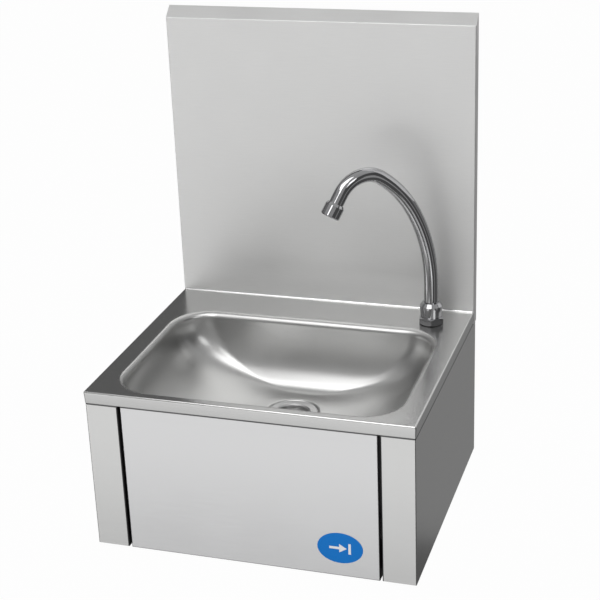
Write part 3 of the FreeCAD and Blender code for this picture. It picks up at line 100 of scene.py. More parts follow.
world = bpy.data.worlds.new("studio")
bpy.context.scene.world = world
world.use_nodes = True
tree = world.node_tree
tree.nodes.clear()
fill = tree.nodes.new("ShaderNodeBackground")
fill.inputs["Color"].default_value = (0.60, 0.60, 0.60, 1)
white = tree.nodes.new("ShaderNodeBackground")
white.inputs["Color"].default_value = (1, 1, 1, 1)
either = tree.nodes.new("ShaderNodeMixShader")
sky = tree.nodes.new("ShaderNodeOutputWorld")
tree.links.new(background_ray(tree), either.inputs["Fac"])
tree.links.new(fill.outputs[0], either.inputs[1])
tree.links.new(white.outputs[0], either.inputs[2])
tree.links.new(either.outputs[0], sky.inputs["Surface"])

floor_z = -0.9
floor_mesh = bpy.data.meshes.new("floor")
floor_mesh.from_pydata([(-30, -12, floor_z), (30, -12, floor_z), (30, 40, floor_z), (-30, 40, floor_z)], [],
                       [(0, 1, 2, 3)])
floor = bpy.data.objects.new("floor", floor_mesh)
bpy.context.scene.collection.objects.link(floor)
floor_finish = bpy.data.materials.new("pale_floor")
floor_finish.use_nodes = True
tree = floor_finish.node_tree
tree.nodes.clear()
paint = tree.nodes.new("ShaderNodeBsdfDiffuse")
paint.inputs["Color"].default_value = (0.80, 0.80, 0.80, 1)
glow = tree.nodes.new("ShaderNodeEmission")
glow.inputs["Color"].default_value = (1, 1, 1, 1)
share = tree.nodes.new("ShaderNodeMath")
share.operation = "MULTIPLY"
share.inputs[1].default_value = 0.97      # the rest of what is seen is the floor with its shadow
both = tree.nodes.new("ShaderNodeMixShader")
out = tree.nodes.new("ShaderNodeOutputMaterial")
tree.links.new(background_ray(tree), share.inputs[0])
tree.links.new(share.outputs[0], both.inputs["Fac"])
tree.links.new(paint.outputs[0], both.inputs[1])
tree.links.new(glow.outputs[0], both.inputs[2])
tree.links.new(both.outputs[0], out.inputs["Surface"])
floor_mesh.materials.append(floor_finish)


def reflected_card(name, points, faces):
    """A staged card that shows only in reflections: its mesh, its node tree and its glow."""
    mesh = bpy.data.meshes.new(name)
    mesh.from_pydata(points, [], faces)
    finish = bpy.data.materials.new(name)
    finish.use_nodes = True
    tree = finish.node_tree
    tree.nodes.clear()
    glow = tree.nodes.new("ShaderNodeEmission")
    out = tree.nodes.new("ShaderNodeOutputMaterial")
    tree.links.new(glow.outputs[0], out.inputs["Surface"])
    mesh.materials.append(finish)
    piece = bpy.data.objects.new(name, mesh)
    bpy.context.scene.collection.objects.link(piece)
    piece.visible_camera = False
    piece.visible_diffuse = False
    piece.visible_shadow = False
    return mesh, tree, glow


def even_card(name, corners, grey):
    """A card that glows by one grey level."""
    _, _, glow = reflected_card(name, corners, [(0, 1, 2, 3)])
    glow.inputs["Color"].default_value = (grey, grey, grey, 1)


def card(name, x, y, z, grey):
    """An even card in the plane of the one coordinate that isn't a pair."""
    if not isinstance(z, tuple):
        corners = [(x[0], y[0], z), (x[1], y[0], z), (x[1], y[1], z), (x[0], y[1], z)]
    elif not isinstance(y, tuple):
        corners = [(x[0], y, z[0]), (x[1], y, z[0]), (x[1], y, z[1]), (x[0], y, z[1])]
    else:
        corners = [(x, y[0], z[0]), (x, y[1], z[0]), (x, y[1], z[1]), (x, y[0], z[1])]
    even_card(name, corners, grey)


# the dim room: the wall behind the sink, its sides, the wall behind the camera, ceiling and floor
room_x = (-5, 5)
room_y = (-7, 0.9)
ceiling_z = 3.3
split_x = 0.15               # the wall behind is darker left of this
sink_z = (-0.35, 0.22)
card("behind_left", (room_x[0], split_x), room_y[1], (sink_z[0], ceiling_z), 0.14)
card("behind_right", (split_x, room_x[1]), room_y[1], sink_z, 0.25)
card("behind_right_high", (split_x, room_x[1]), room_y[1], (sink_z[1], ceiling_z), 0.8)
card("behind_low", room_x, room_y[1], (floor_z, sink_z[0]), 0.25)
card("left", room_x[0], room_y, (floor_z, ceiling_z), 0.22)
card("right", room_x[1], room_y, (floor_z, ceiling_z), 0.10)
card("front", room_x, room_y[0], (floor_z, ceiling_z), 0.40)
card("ceiling_front", room_x, (room_y[0], -1.0), ceiling_z, 0.45)
card("ceiling_rear", room_x, (-1.0, room_y[1]), ceiling_z, 0.50)
card("floor_around", room_x, room_y, floor_z + 0.002, 0.10)

# brighter cards: before the sink, low on its left, and over the bowl
card("front_window", (-1.85, 0.35), -4.5, (1.35, 2.7), 0.30)
even_card("left_low", [(-2.1, -1.0, -0.85), (-1.8, -1.5, -0.85), (-1.8, -1.5, 0.1), (-2.1, -1.0, 0.1)], 3.0)
card("over_bowl", (-0.60, 0.40), (-0.95, -0.38), 1.05, 2.7)

# the floor before the sink, its grey level given at steps of distance from the wall
floor_rows = [(-0.75, 0.55), (-1.43, 0.74), (-1.69, 0.95), (-1.98, 1.40), (-2.12, 0.90), (-2.5, 0.82),
              (-3.3, 0.76), (-4.5, 1.40), (-5.8, 2.40), (-6.9, 2.60)]
floor_points = [(x, y, floor_z + 0.01) for y, _ in floor_rows for x in (1.3 * y, 0.4 - 0.55 * y)]
floor_faces = [(2 * row, 2 * row + 1, 2 * row + 3, 2 * row + 2) for row in range(len(floor_rows) - 1)]
card_mesh, tree, glow = reflected_card("floor_card", floor_points, floor_faces)
shade = card_mesh.color_attributes.new("shade", "FLOAT_COLOR", "POINT")
for index, point in enumerate(shade.data):
    grey = floor_rows[index // 2][1]
    point.color = (grey, grey, grey, 1)
read = tree.nodes.new("ShaderNodeVertexColor")
read.layer_name = "shade"
tree.links.new(read.outputs["Color"], glow.inputs["Color"])


def soft_box(name, place, target, width, height, brightness):
    """An area lamp that looks equally bright whatever its size, aimed at a point."""
    data = bpy.data.lights.new(name, "AREA")
    data.shape = "RECTANGLE"
    data.size = width
    data.size_y = height
    data.energy = brightness * math.pi * width * height
    lamp = bpy.data.objects.new(name, data)
    bpy.context.scene.collection.objects.link(lamp)
    aim = Vector(target) - Vector(place)
    lamp.matrix_world = Matrix.Translation(place) @ aim.to_track_quat("-Z", "Y").to_matrix().to_4x4()
    return lamp


soft_box("box_above", (-0.25, -2.35, 2.45), (0, -0.2, 0), 1.4, 2.3, 2.4)
soft_box("box_left", (-2.2, -0.9, -0.1), (0, -0.2, 0), 0.4, 1.2, 0.5)
soft_box("box_right", (2.0, -0.65, -0.3), (0, -0.2, 0.2), 0.25, 1.0, 0.3)
soft_box("box_front_right", (2.2, -2.1, 1.5), (0, -0.2, 0), 0.9, 0.9, 2.2)


# ---------------------------------------------------------------- the tray
# Deck, bowl and folded lip, pressed from one sheet of stainless steel. The deck and lip are
# brushed, the drawn bowl is satin. The rear edge stands up behind the splashback.
tray_low, tray_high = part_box("basin_top")
half_width = tray_high.x
front_y = tray_low.y
splash_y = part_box("splashback")[0].y
deck_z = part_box("deck_gasket")[0].z
sheet = 0.001
bend = 0.0020
flat_edge = 0.0010           # flat sheet kept in one strip beside the bends
lip_lean = 0.0008            # the lip is folded a little past square
hem_r = 0.0013               # the lip's lower edge is rolled in
lip_z = deck_z - 0.016
upstand_z = tray_high.z
bowl_half = Vector((0.170, 0.120))
bowl_y = -0.2085
bowl_depth = 0.088
bowl_corner = 0.045
skirt = 0.009                # the upright top of the bowl's wall, its rolled rim included
rim_roll = 0.008
floor_half = 0.046
drain_low, drain_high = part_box("waste_flange")
drain_y = (drain_low.y + drain_high.y) / 2
recess_r = 0.033
recess = 0.003
drain_r = 0.024
spout_low, spout_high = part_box("spout_shank")
spout_x = (spout_low.x + spout_high.x) / 2
spout_y = (spout_low.y + spout_high.y) / 2
spout_hole_r = 0.011


def new_piece(name, points, faces, finish, smooth=True):
    """A mesh object at the origin, with its place in its mesh."""
    mesh = bpy.data.meshes.new(name)
    mesh.from_pydata([tuple(point) for point in points], [], faces)
    mesh.validate()
    for face in mesh.polygons:
        face.use_smooth = smooth
    mesh.materials.append(finish)
    piece = bpy.data.objects.new(name, mesh)
    bpy.context.scene.collection.objects.link(piece)
    return piece


def grained(name, grain, shade, roughness, change=0.04, depth=0.4, metallic=1.0):
    """A finish with fine lines: `grain` is how long the lines are along X, Y and Z. Its colour and
    its roughness, which changes by `change` either way, follow the lines and slow patches, and the
    lines stand up by `depth`."""
    tone_change = 0.035
    line_height = 0.00002
    patch_scale = 9.0
    low_value = 0.35             # the noise lies mostly between these two
    high_value = 0.65
    finish = bpy.data.materials.new(name)
    finish.use_nodes = True
    tree = finish.node_tree
    shader = tree.nodes["Principled BSDF"]
    shader.inputs["Metallic"].default_value = metallic
    place = tree.nodes.new("ShaderNodeTexCoord")
    stretch = tree.nodes.new("ShaderNodeMapping")
    stretch.inputs["Scale"].default_value = [1 / length for length in grain]
    lines = tree.nodes.new("ShaderNodeTexNoise")
    lines.inputs["Scale"].default_value = 1.0
    lines.inputs["Detail"].default_value = 4.0
    lines.inputs["Roughness"].default_value = 0.6
    slow = tree.nodes.new("ShaderNodeTexNoise")
    slow.inputs["Scale"].default_value = patch_scale
    slow.inputs["Detail"].default_value = 2.0
    tree.links.new(place.outputs["Object"], stretch.inputs["Vector"])
    tree.links.new(stretch.outputs["Vector"], lines.inputs["Vector"])
    tree.links.new(place.outputs["Object"], slow.inputs["Vector"])
    mixed = tree.nodes.new("ShaderNodeMath")
    mixed.operation = "ADD"
    halved = tree.nodes.new("ShaderNodeMath")
    halved.operation = "MULTIPLY"
    halved.inputs[1].default_value = 0.5
    tree.links.new(lines.outputs["Fac"], mixed.inputs[0])
    tree.links.new(slow.outputs["Fac"], mixed.inputs[1])
    tree.links.new(mixed.outputs[0], halved.inputs[0])
    gloss = tree.nodes.new("ShaderNodeMapRange")
    gloss.inputs["From Min"].default_value = low_value
    gloss.inputs["From Max"].default_value = high_value
    gloss.inputs["To Min"].default_value = max(0.0, roughness - change)
    gloss.inputs["To Max"].default_value = roughness + change
    tree.links.new(halved.outputs[0], gloss.inputs["Value"])
    tree.links.new(gloss.outputs["Result"], shader.inputs["Roughness"])
    tone = tree.nodes.new("ShaderNodeValToRGB")
    tone.color_ramp.elements[0].position = low_value
    tone.color_ramp.elements[0].color = (*[(1 - tone_change) * part for part in shade], 1)
    tone.color_ramp.elements[1].position = high_value
    tone.color_ramp.elements[1].color = (*[(1 + tone_change) * part for part in shade], 1)
    tree.links.new(halved.outputs[0], tone.inputs["Fac"])
    tree.links.new(tone.outputs["Color"], shader.inputs["Base Color"])
    bump = tree.nodes.new("ShaderNodeBump")
    bump.inputs["Strength"].default_value = depth
    bump.inputs["Distance"].default_value = line_height
    tree.links.new(lines.outputs["Fac"], bump.inputs["Height"])
    tree.links.new(bump.outputs["Normal"], shader.inputs["Normal"])
    return finish


def hard_edges(piece, degrees):
    """The piece with its modifiers made real, shaded smooth but for edges over an angle."""
    evaluated = piece.evaluated_get(bpy.context.evaluated_depsgraph_get())
    mesh = bpy.data.meshes.new_from_object(evaluated)
    piece.modifiers.clear()
    piece.data = mesh
    for face in mesh.polygons:
        face.use_smooth = True
    mesh.set_sharp_from_angle(angle=math.radians(degrees))


along_x = (0.030, 0.0006, 0.0006)
satin_grain = (0.0010, 0.0010, 0.0010)
tray_finish = grained("brushed_tray", along_x, (0.60, 0.60, 0.595), 0.23)
bowl_finish = grained("drawn_bowl", satin_grain, (0.53, 0.53, 0.525), 0.30, change=0.015, depth=0.05)


corner_steps = 18
side_steps = 8


def bowl_ring(angle):
    """The bowl's outline at an angle down its elliptical wall: 0 under the skirt, 90 at the floor."""

    def reach(wall):
        return floor_half + (wall - floor_half) * math.cos(angle)

    rear = drain_y + reach(bowl_y + bowl_half.y - drain_y)
    front = drain_y - reach(drain_y - bowl_y + bowl_half.y)
    return outline(reach(bowl_half.x), front, rear, bowl_corner)


def rim_ring(grow):
    """The bowl's outline at its rim, grown outwards."""
    return outline(bowl_half.x + grow, bowl_y - bowl_half.y - grow, bowl_y + bowl_half.y + grow,
                   bowl_corner + grow)


def outline(ends, front, rear, corner):
    """A rounded rectangle in plan, anticlockwise from its right rear corner."""
    centres = [Vector((ends - corner, rear - corner)), Vector((corner - ends, rear - corner)),
               Vector((corner - ends, front + corner)), Vector((ends - corner, front + corner))]
    points = []
    for quarter, centre in enumerate(centres):
        for step in range(corner_steps + 1):
            angle = math.pi / 2 * (quarter + step / corner_steps)
            points.append(centre + corner * Vector((math.cos(angle), math.sin(angle))))
        following = centres[(quarter + 1) % 4] + points[-1] - centre
        here = points[-1]
        points += [here.lerp(following, step / side_steps) for step in range(1, side_steps)]
    return points


def bridge(mesh, first, second):
    """Quads between two closed loops with the same number of vertices."""
    for step in range(len(first)):
        following = (step + 1) % len(first)
        mesh.faces.new((first[step], first[following], second[following], second[step]))


def loop_edges(mesh, loop):
    """The edges of a closed loop of vertices, made where they are missing."""
    pairs = [(loop[step - 1], loop[step]) for step in range(len(loop))]
    return [mesh.edges.get(ends) or mesh.edges.new(ends) for ends in pairs]


tray = bmesh.new()
floor_level = deck_z - bowl_depth
rings = []
dish_steps = 40
for step in range(dish_steps + 1):
    angle = math.pi / 2 * (1 - step / dish_steps)
    height = floor_level + (bowl_depth - skirt) * (1 - math.sin(angle))
    rings.append((bowl_ring(angle), height))
roll_steps = 10
for step in range(roll_steps + 1):
    angle = math.pi / 2 * step / roll_steps
    rings.append((rim_ring(rim_roll * (1 - math.cos(angle))), deck_z - rim_roll * (1 - math.sin(angle))))
rings.append((rim_ring(rim_roll + flat_edge), deck_z))
loops = [[tray.verts.new((*point, height)) for point in plan] for plan, height in rings]

# the recess for the waste, inside the lowest ring
middle = Vector((0, drain_y))
recess_steps = 8
slope_start = recess_r + 0.0025
slope_width = 0.0055
recess_profile = [(recess_r + 0.0035, 0.0)]
for step in range(recess_steps + 1):
    share = step / recess_steps
    recess_profile.append((slope_start - slope_width * share, -recess * (1 - math.cos(math.pi * share)) / 2))
recess_profile.append((drain_r, -recess))
inner_loops = []
for radius, drop in recess_profile:
    loop = []
    for point in rings[0][0]:
        place = middle + (point - middle).normalized() * radius
        loop.append(tray.verts.new((*place, floor_level + drop)))
    inner_loops.append(loop)
for inside, outside in zip(inner_loops[1:], inner_loops):
    bridge(tray, inside, outside)
bridge(tray, inner_loops[0], loops[0])
for inside, outside in zip(loops, loops[1:]):
    bridge(tray, inside, outside)


lip_corner_steps = 6


def border_row(spread, z):
    """The deck's left, front and right edges as one open row, `spread` past where its bend starts."""
    flat_x = half_width - bend
    flat_y = front_y + bend
    rear_ys = (splash_y, splash_y - 0.004)
    row = [(-flat_x - spread, y, z) for y in rear_ys]
    for side in (-1, 1):
        for step in range(lip_corner_steps + 1):
            share = step / lip_corner_steps if side < 0 else 1 - step / lip_corner_steps
            angle = math.pi / 2 * share
            sideways = spread * math.cos(angle) if spread > 0 else spread
            forwards = spread * math.sin(angle) if spread > 0 else spread
            row.append((side * (flat_x + sideways), flat_y - forwards, z))
    row += [(flat_x + spread, y, z) for y in rear_ys[::-1]]
    return row


bend_steps = 6
lean_top = 0.0008            # the lip is upright so far under its bend
lean_foot = 0.0004           # and again so far over its hem
rows = [border_row(-flat_edge, deck_z)]
for step in range(bend_steps + 1):
    angle = math.pi / 2 * step / bend_steps
    rows.append(border_row(bend * math.sin(angle), deck_z - bend * (1 - math.cos(angle))))
rows.append(border_row(bend - 0.05 * lip_lean, deck_z - bend - lean_top))
rows.append(border_row(bend - 0.95 * lip_lean, lip_z + hem_r + lean_foot))
for step in range(bend_steps + 1):
    angle = math.pi / 2 * step / bend_steps
    inward = lip_lean + hem_r * (1 - math.cos(angle))
    rows.append(border_row(bend - inward, lip_z + hem_r * (1 - math.sin(angle))))
grid = [[tray.verts.new(point) for point in row] for row in rows]
for upper, lower in zip(grid, grid[1:]):
    for step in range(len(upper) - 1):
        tray.faces.new((upper[step], lower[step], lower[step + 1], upper[step + 1]))

# the deck's rear edge runs on under the splashback and turns up behind it
rear_x = half_width - bend - flat_edge
upstand_y = splash_y + 0.00105
rear_rows = [(splash_y + 0.0001, deck_z), (splash_y + 0.0005, deck_z), (splash_y + 0.0008, deck_z + 0.0001),
             (upstand_y, deck_z + 0.0006), (upstand_y, upstand_z)]
rear_grid = [[tray.verts.new((side * rear_x, y, z)) for side in (-1, 1)] for y, z in rear_rows]
for lower, upper in zip(rear_grid, rear_grid[1:]):
    tray.faces.new((lower[1], lower[0], upper[0], upper[1]))

# the flat deck fills what lies between its outline, the bowl's rim and the spout's hole
hole_steps = 32
spout_loop = []
for step in range(hole_steps):
    angle = math.tau * step / hole_steps
    spout_loop.append(tray.verts.new((spout_x + spout_hole_r * math.cos(angle),
                                      spout_y + spout_hole_r * math.sin(angle), deck_z)))
bmesh.ops.remove_doubles(tray, verts=[vert for row in grid for vert in row], dist=1e-6)


def deck_side(side):
    """The vertices of the flat deck's left or right edge, from the front to the splashback."""
    found = [vert for vert in tray.verts if vert.is_boundary and abs(vert.co.z - deck_z) < 1e-7
             and abs(vert.co.x - side * rear_x) < 1e-6 and vert.co.y < splash_y + 0.00005]
    return sorted(found, key=lambda vert: vert.co.y)


deck_border = deck_side(-1)[::-1] + deck_side(1) + [rear_grid[0][1], rear_grid[0][0]]
edges = loop_edges(tray, deck_border) + loop_edges(tray, loops[-1]) + loop_edges(tray, spout_loop)
bmesh.ops.triangle_fill(tray, use_beauty=True, edges=edges)
bmesh.ops.recalc_face_normals(tray, faces=tray.faces)
if sum(face.normal.z * face.calc_area() for face in tray.faces) < 0:
    bmesh.ops.reverse_faces(tray, faces=tray.faces)
basin = new_piece("tray", [], [], tray_finish)
tray.to_mesh(basin.data)
tray.free()

# the bowl gets its own finish, and the sheet its thickness
basin.data.materials.append(bowl_finish)
for face in basin.data.polygons:
    face.use_smooth = True
    in_width = abs(face.center.x) < bowl_half.x + rim_roll / 2
    in_depth = abs(face.center.y - bowl_y) < bowl_half.y + rim_roll / 2
    face.material_index = int(in_width and in_depth and face.center.z < deck_z - 0.0005)
thicken = basin.modifiers.new("sheet", "SOLIDIFY")
thicken.thickness = sheet
thicken.offset = -1
thicken.use_even_offset = True
hard_edges(basin, 35)
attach(basin, "sink")
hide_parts("basin_top")


# ---------------------------------------------------------------- the weld seam of the deck
# The deck is welded to the foot of the splashback, and the seam is ground and polished.
seam_r = 0.0017
seam_steps = 6
seam_overlap = 0.0002        # into the splashback
seam_lift = 0.00002          # clear of the deck
seam_inset = 0.002
seam_finish = grained("polished_seam", along_x, (0.88, 0.88, 0.88), 0.14, change=0.03, depth=0.2)
seam_profile = []
for step in range(seam_steps + 1):
    angle = math.pi / 2 * step / seam_steps
    seam_profile.append((splash_y - seam_r * (1 - math.sin(angle)), deck_z + seam_r * (1 - math.cos(angle))))
seam_profile.append((splash_y + seam_overlap, deck_z + seam_lift))
seam_ends = (seam_inset - half_width, half_width - seam_inset)


def extrusion(name, profile, ends, finish):
    """A bar along X with the same section all along: `profile` holds its points (y, z)."""
    count = len(profile)
    points = [(x, y, z) for x in ends for y, z in profile]
    faces = [(step, (step + 1) % count, count + (step + 1) % count, count + step) for step in range(count)]
    faces += [tuple(range(count))[::-1], tuple(range(count, 2 * count))]
    piece = new_piece(name, points, faces, finish)
    face_out(piece)
    hard_edges(piece, 40)
    return piece


def face_out(piece):
    """Turns the faces of a closed mesh outwards."""
    mesh = bmesh.new()
    mesh.from_mesh(piece.data)
    bmesh.ops.recalc_face_normals(mesh, faces=mesh.faces)
    mesh.to_mesh(piece.data)
    mesh.free()


seam = extrusion("deck_seam", seam_profile, seam_ends, seam_finish)
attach(seam, "sink")


# ---------------------------------------------------------------- the splashback
# A folded steel sheet with a sloped top and two side returns, brushed along the wall. Its
# grain is coarser than the deck's, so it reflects softly.
def finish_nodes(finish, *names):
    """Gives CAD nodes their finish."""
    for name in names:
        nodes[name].data.materials.clear()
        nodes[name].data.materials.append(finish)


splash_finish = grained("brushed_splash", along_x, (0.70, 0.70, 0.695), 0.46, metallic=0.85)
finish_nodes(splash_finish, "splashback")


# ---------------------------------------------------------------- the casing and the push panel
# The casing sides and the push panel are folded from brushed sheet. The returns on both sides
# of the two slits are left as the mill rolled them, rough, and painted near black as shade in
# the slits, and a line under the lip is painted dark and rough as the lip's shadow.
def paint_shade_between(finish, axis, low, high, shade, roughness):
    """Paints shade into a finish, dark and rough, between two heights or two distances from mid-width."""
    tree = finish.node_tree
    shader = tree.nodes["Principled BSDF"]
    place = tree.nodes.new("ShaderNodeTexCoord")
    split = tree.nodes.new("ShaderNodeSeparateXYZ")
    tree.links.new(place.outputs["Object"], split.inputs["Vector"])
    measured = split.outputs[axis]
    if axis == "X":
        distance = tree.nodes.new("ShaderNodeMath")
        distance.operation = "ABSOLUTE"
        tree.links.new(measured, distance.inputs[0])
        measured = distance.outputs[0]
    inside = tree.nodes.new("ShaderNodeMath")
    inside.operation = "COMPARE"
    inside.inputs[1].default_value = (low + high) / 2
    inside.inputs[2].default_value = (high - low) / 2
    tree.links.new(measured, inside.inputs[0])
    tone = tree.nodes.new("ShaderNodeMix")
    tone.data_type = "RGBA"
    tone.inputs["B"].default_value = (*shade, 1)
    tree.links.new(inside.outputs[0], tone.inputs["Factor"])
    tree.links.new(shader.inputs["Base Color"].links[0].from_socket, tone.inputs["A"])
    tree.links.new(tone.outputs["Result"], shader.inputs["Base Color"])
    gloss = tree.nodes.new("ShaderNodeMix")
    gloss.inputs["B"].default_value = roughness
    tree.links.new(inside.outputs[0], gloss.inputs["Factor"])
    tree.links.new(shader.inputs["Roughness"].links[0].from_socket, gloss.inputs["A"])
    tree.links.new(gloss.outputs["Result"], shader.inputs["Roughness"])


slit_low = 0.1553
slit_high = 0.1600
lip_shadow = (lip_z - 0.0011, lip_z + 0.0012)
level_lines = (0.030, 0.030, 0.0008)
side_finish = grained("brushed_side", level_lines, (0.62, 0.62, 0.615), 0.24, change=0.03, depth=0.25)
front_finish = grained("brushed_front", level_lines, (0.655, 0.655, 0.66), 0.24, change=0.03, depth=0.25)
for finish in (side_finish, front_finish):
    # painted shade in the slits: their returns near black
    paint_shade_between(finish, "X", slit_low, slit_high, (0.07, 0.07, 0.07), 0.5)
    # painted shadow of the lip: a dark line under it
    paint_shade_between(finish, "Z", *lip_shadow, (0.13, 0.13, 0.13), 0.5)
finish_nodes(side_finish, "left_side_panel", "right_side_panel")
finish_nodes(front_finish, "push_panel")


# ---------------------------------------------------------------- the push sign
# An oval vinyl sticker on the panel, blue with a white arrow that pushes against a plate.
label_low, label_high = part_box("push_label")
label_centre = (label_low + label_high) / 2
label_half = (label_high - label_low) / 2
label_edge = 0.0001
label_steps = 72
vinyl_grain = (0.002, 0.002, 0.002)
blue = grained("blue_vinyl", vinyl_grain, (0.0, 0.185, 0.62), 0.45, change=0.05, depth=0.15, metallic=0.0)
blue.node_tree.nodes["Principled BSDF"].inputs["Specular IOR Level"].default_value = 0.15
white_ink = grained("white_vinyl", vinyl_grain, (0.86, 0.86, 0.86), 0.45, change=0.05, depth=0.15,
                    metallic=0.0)

# rings of the sticker from its middle to its cut edge: share of its half size, share of its edge
oval_rings = [(0.6, 0.0), (0.988, 0.0), (0.996, 0.3), (1.0, 1.0)]
oval = bmesh.new()
oval_loops = []
for reach_share, depth_share in oval_rings:
    loop = []
    for step in range(label_steps):
        angle = math.tau * step / label_steps
        loop.append(oval.verts.new((label_centre.x + reach_share * label_half.x * math.cos(angle),
                                    label_low.y + depth_share * label_edge,
                                    label_centre.z + reach_share * label_half.z * math.sin(angle))))
    oval_loops.append(loop)
base = [oval.verts.new((vert.co.x, label_high.y, vert.co.z)) for vert in oval_loops[-1]]
oval_loops.append(base)
for inner, outer in zip(oval_loops, oval_loops[1:]):
    bridge(oval, inner, outer)
oval.faces.new(oval_loops[0])
oval.faces.new(base[::-1])
sticker = new_piece("push_sticker", [], [], blue)
bmesh.ops.recalc_face_normals(oval, faces=oval.faces)
oval.to_mesh(sticker.data)
oval.free()
hard_edges(sticker, 40)
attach(sticker, "panel")
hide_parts("push_label")

arrow_tail = -0.0130
arrow_neck = -0.0010
arrow_tip = 0.0080
shaft_half = 0.0016
head_half = 0.0056
bar_ends = (0.0100, 0.0130)
bar_half = 0.0070
ink_front = 0.00004          # the ink stands this far out of the sticker
ink_back = 0.00005           # and reaches this far into it
arrow = [(arrow_tail, -shaft_half), (arrow_tail, shaft_half), (arrow_neck, shaft_half),
         (arrow_neck, head_half), (arrow_tip, 0.0), (arrow_neck, -head_half), (arrow_neck, -shaft_half)]
bar = [(bar_ends[0], -bar_half), (bar_ends[0], bar_half),
       (bar_ends[1], bar_half), (bar_ends[1], -bar_half)]
sign_points = []
sign_faces = []
for shape in (arrow, bar):
    first = len(sign_points)
    count = len(shape)
    for y in (label_low.y - ink_front, label_low.y + ink_back):
        sign_points += [(label_centre.x + x, y, label_centre.z + z) for x, z in shape]
    sign_faces.append(tuple(first + step for step in range(count))[::-1])
    sign_faces.append(tuple(first + count + step for step in range(count)))
    sign_faces += [(first + step, first + (step + 1) % count, first + count + (step + 1) % count,
                    first + count + step) for step in range(count)]
sign = new_piece("push_arrow", sign_points, sign_faces, white_ink, smooth=False)
face_out(sign)
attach(sign, "panel")


# ---------------------------------------------------------------- rails, crossbar and stiffener
# Plain stainless sheet inside the casing, cut and folded but not brushed. The rails and the
# crossbar hold sink and valve to the wall and the sides, the stiffener backs the push panel.
mill_finish = grained("mill_sheet", (0.012, 0.012, 0.012), (0.50, 0.50, 0.50), 0.36, change=0.06, depth=0.3)
finish_nodes(mill_finish, "rear_top_rail", "rear_bottom_rail", "valve_crossbar", "panel_stiffener")


# ---------------------------------------------------------------- fasteners
# Turned and cold-headed stainless screws, studs, nuts, pins and washers, with the valve's stem,
# the inlet filters and the ferrules pressed on the hose.
fastener = grained("turned_steel", (0.002, 0.002, 0.002), (0.55, 0.55, 0.55), 0.28, change=0.06, depth=0.5)
finish_nodes(fastener, "crossbar_studs", "crossbar_nuts", "hinge_pins", "hinge_nuts", "striker_screw",
             "striker_nut", "knob_screw", "waste_screw", "shank_washer", "valve_stem", "inlet_filters",
             "hose_ferrules")


# ---------------------------------------------------------------- rubber and plastic parts
# Moulded seals, bumpers and pads of black rubber, and bushes, valves and waste of white plastic.
rubber_grain = (0.002, 0.002, 0.002)
white_grain = (0.003, 0.003, 0.003)
rubber = grained("moulded_rubber", rubber_grain, (0.03, 0.03, 0.03), 0.60, change=0.08, depth=0.8,
                 metallic=0.0)
white_plastic = grained("white_moulding", white_grain, (0.80, 0.80, 0.78), 0.40, change=0.05, depth=0.5,
                        metallic=0.0)
black_plastic = grained("black_moulding", rubber_grain, (0.05, 0.05, 0.06), 0.35, change=0.05, depth=0.5,
                        metallic=0.0)
finish_nodes(rubber, "panel_bumpers", "striker_pad", "poppet_seal", "stem_seal", "spout_o_rings",
             "deck_gasket", "shank_gasket", "waste_upper_gasket", "waste_lower_gasket", "aerator_seal")
finish_nodes(white_plastic, "hinge_bushes", "spout_slip_ring", "aerator_insert", "check_valves",
             "waste_body")
finish_nodes(black_plastic, "mixer_knob")


# ---------------------------------------------------------------- valve and mixer
# Turned and drilled brass, screwed together. The bodies are satin chromed, and what is hidden or
# threaded is left bare.
satin = grained("satin_chrome", (0.004, 0.004, 0.004), (0.62, 0.62, 0.63), 0.22, change=0.04, depth=0.3)
brass = grained("machined_brass", (0.003, 0.003, 0.0005), (0.72, 0.52, 0.25), 0.25, change=0.05, depth=0.5)
finish_nodes(satin, "valve_body", "valve_bonnet", "mixer_body", "valve_button")
finish_nodes(brass, "bonnet_locknuts", "mixer_gland_nut", "cold_inlet_union", "hot_inlet_union", "hose_nuts",
             "spout_shank", "shank_locknut", "valve_poppet", "mixer_spool")


# ---------------------------------------------------------------- the valve's spring
# Cold-wound stainless wire round the stem. It pushes the button, and through it the panel, back.
spring_low, spring_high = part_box("valve_spring")
spring_x = (spring_low.x + spring_high.x) / 2
spring_z = (spring_low.z + spring_high.z) / 2
wire_r = 0.0007
coil_r = (spring_high.x - spring_low.x) / 2 - wire_r
coil_turns = 7
coil_steps = 40 * coil_turns
wire_sides = 10
spring_points = []
start = Vector((spring_x, spring_low.y + wire_r, spring_z))
wound_length = spring_high.y - spring_low.y - 2 * wire_r
for step in range(coil_steps + 1):
    share = step / coil_steps
    turn = math.tau * coil_turns * share
    radial = Vector((math.cos(turn), 0, math.sin(turn)))
    centre = start + coil_r * radial + Vector((0, wound_length * share, 0))
    for side in range(wire_sides):
        angle = math.tau * side / wire_sides
        spring_points.append(centre + wire_r * (math.cos(angle) * radial + Vector((0, math.sin(angle), 0))))
spring_faces = [(wire_sides * step + side, wire_sides * step + (side + 1) % wire_sides,
                 wire_sides * (step + 1) + (side + 1) % wire_sides, wire_sides * (step + 1) + side)
                for step in range(coil_steps) for side in range(wire_sides)]
spring_faces.append(tuple(range(wire_sides))[::-1])
spring_faces.append(tuple(wire_sides * coil_steps + side for side in range(wire_sides)))
spring = new_piece("button_spring", spring_points, spring_faces, fastener)
face_out(spring)
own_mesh(spring)
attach(spring, "sink")
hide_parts("valve_spring")


# ---------------------------------------------------------------- the threads
# Threads cut on the spout's shank and on the two supply unions: rings of the thread's form along
# the axis, set out by geometry nodes.
thread_depth = 0.28          # shares of the pitch


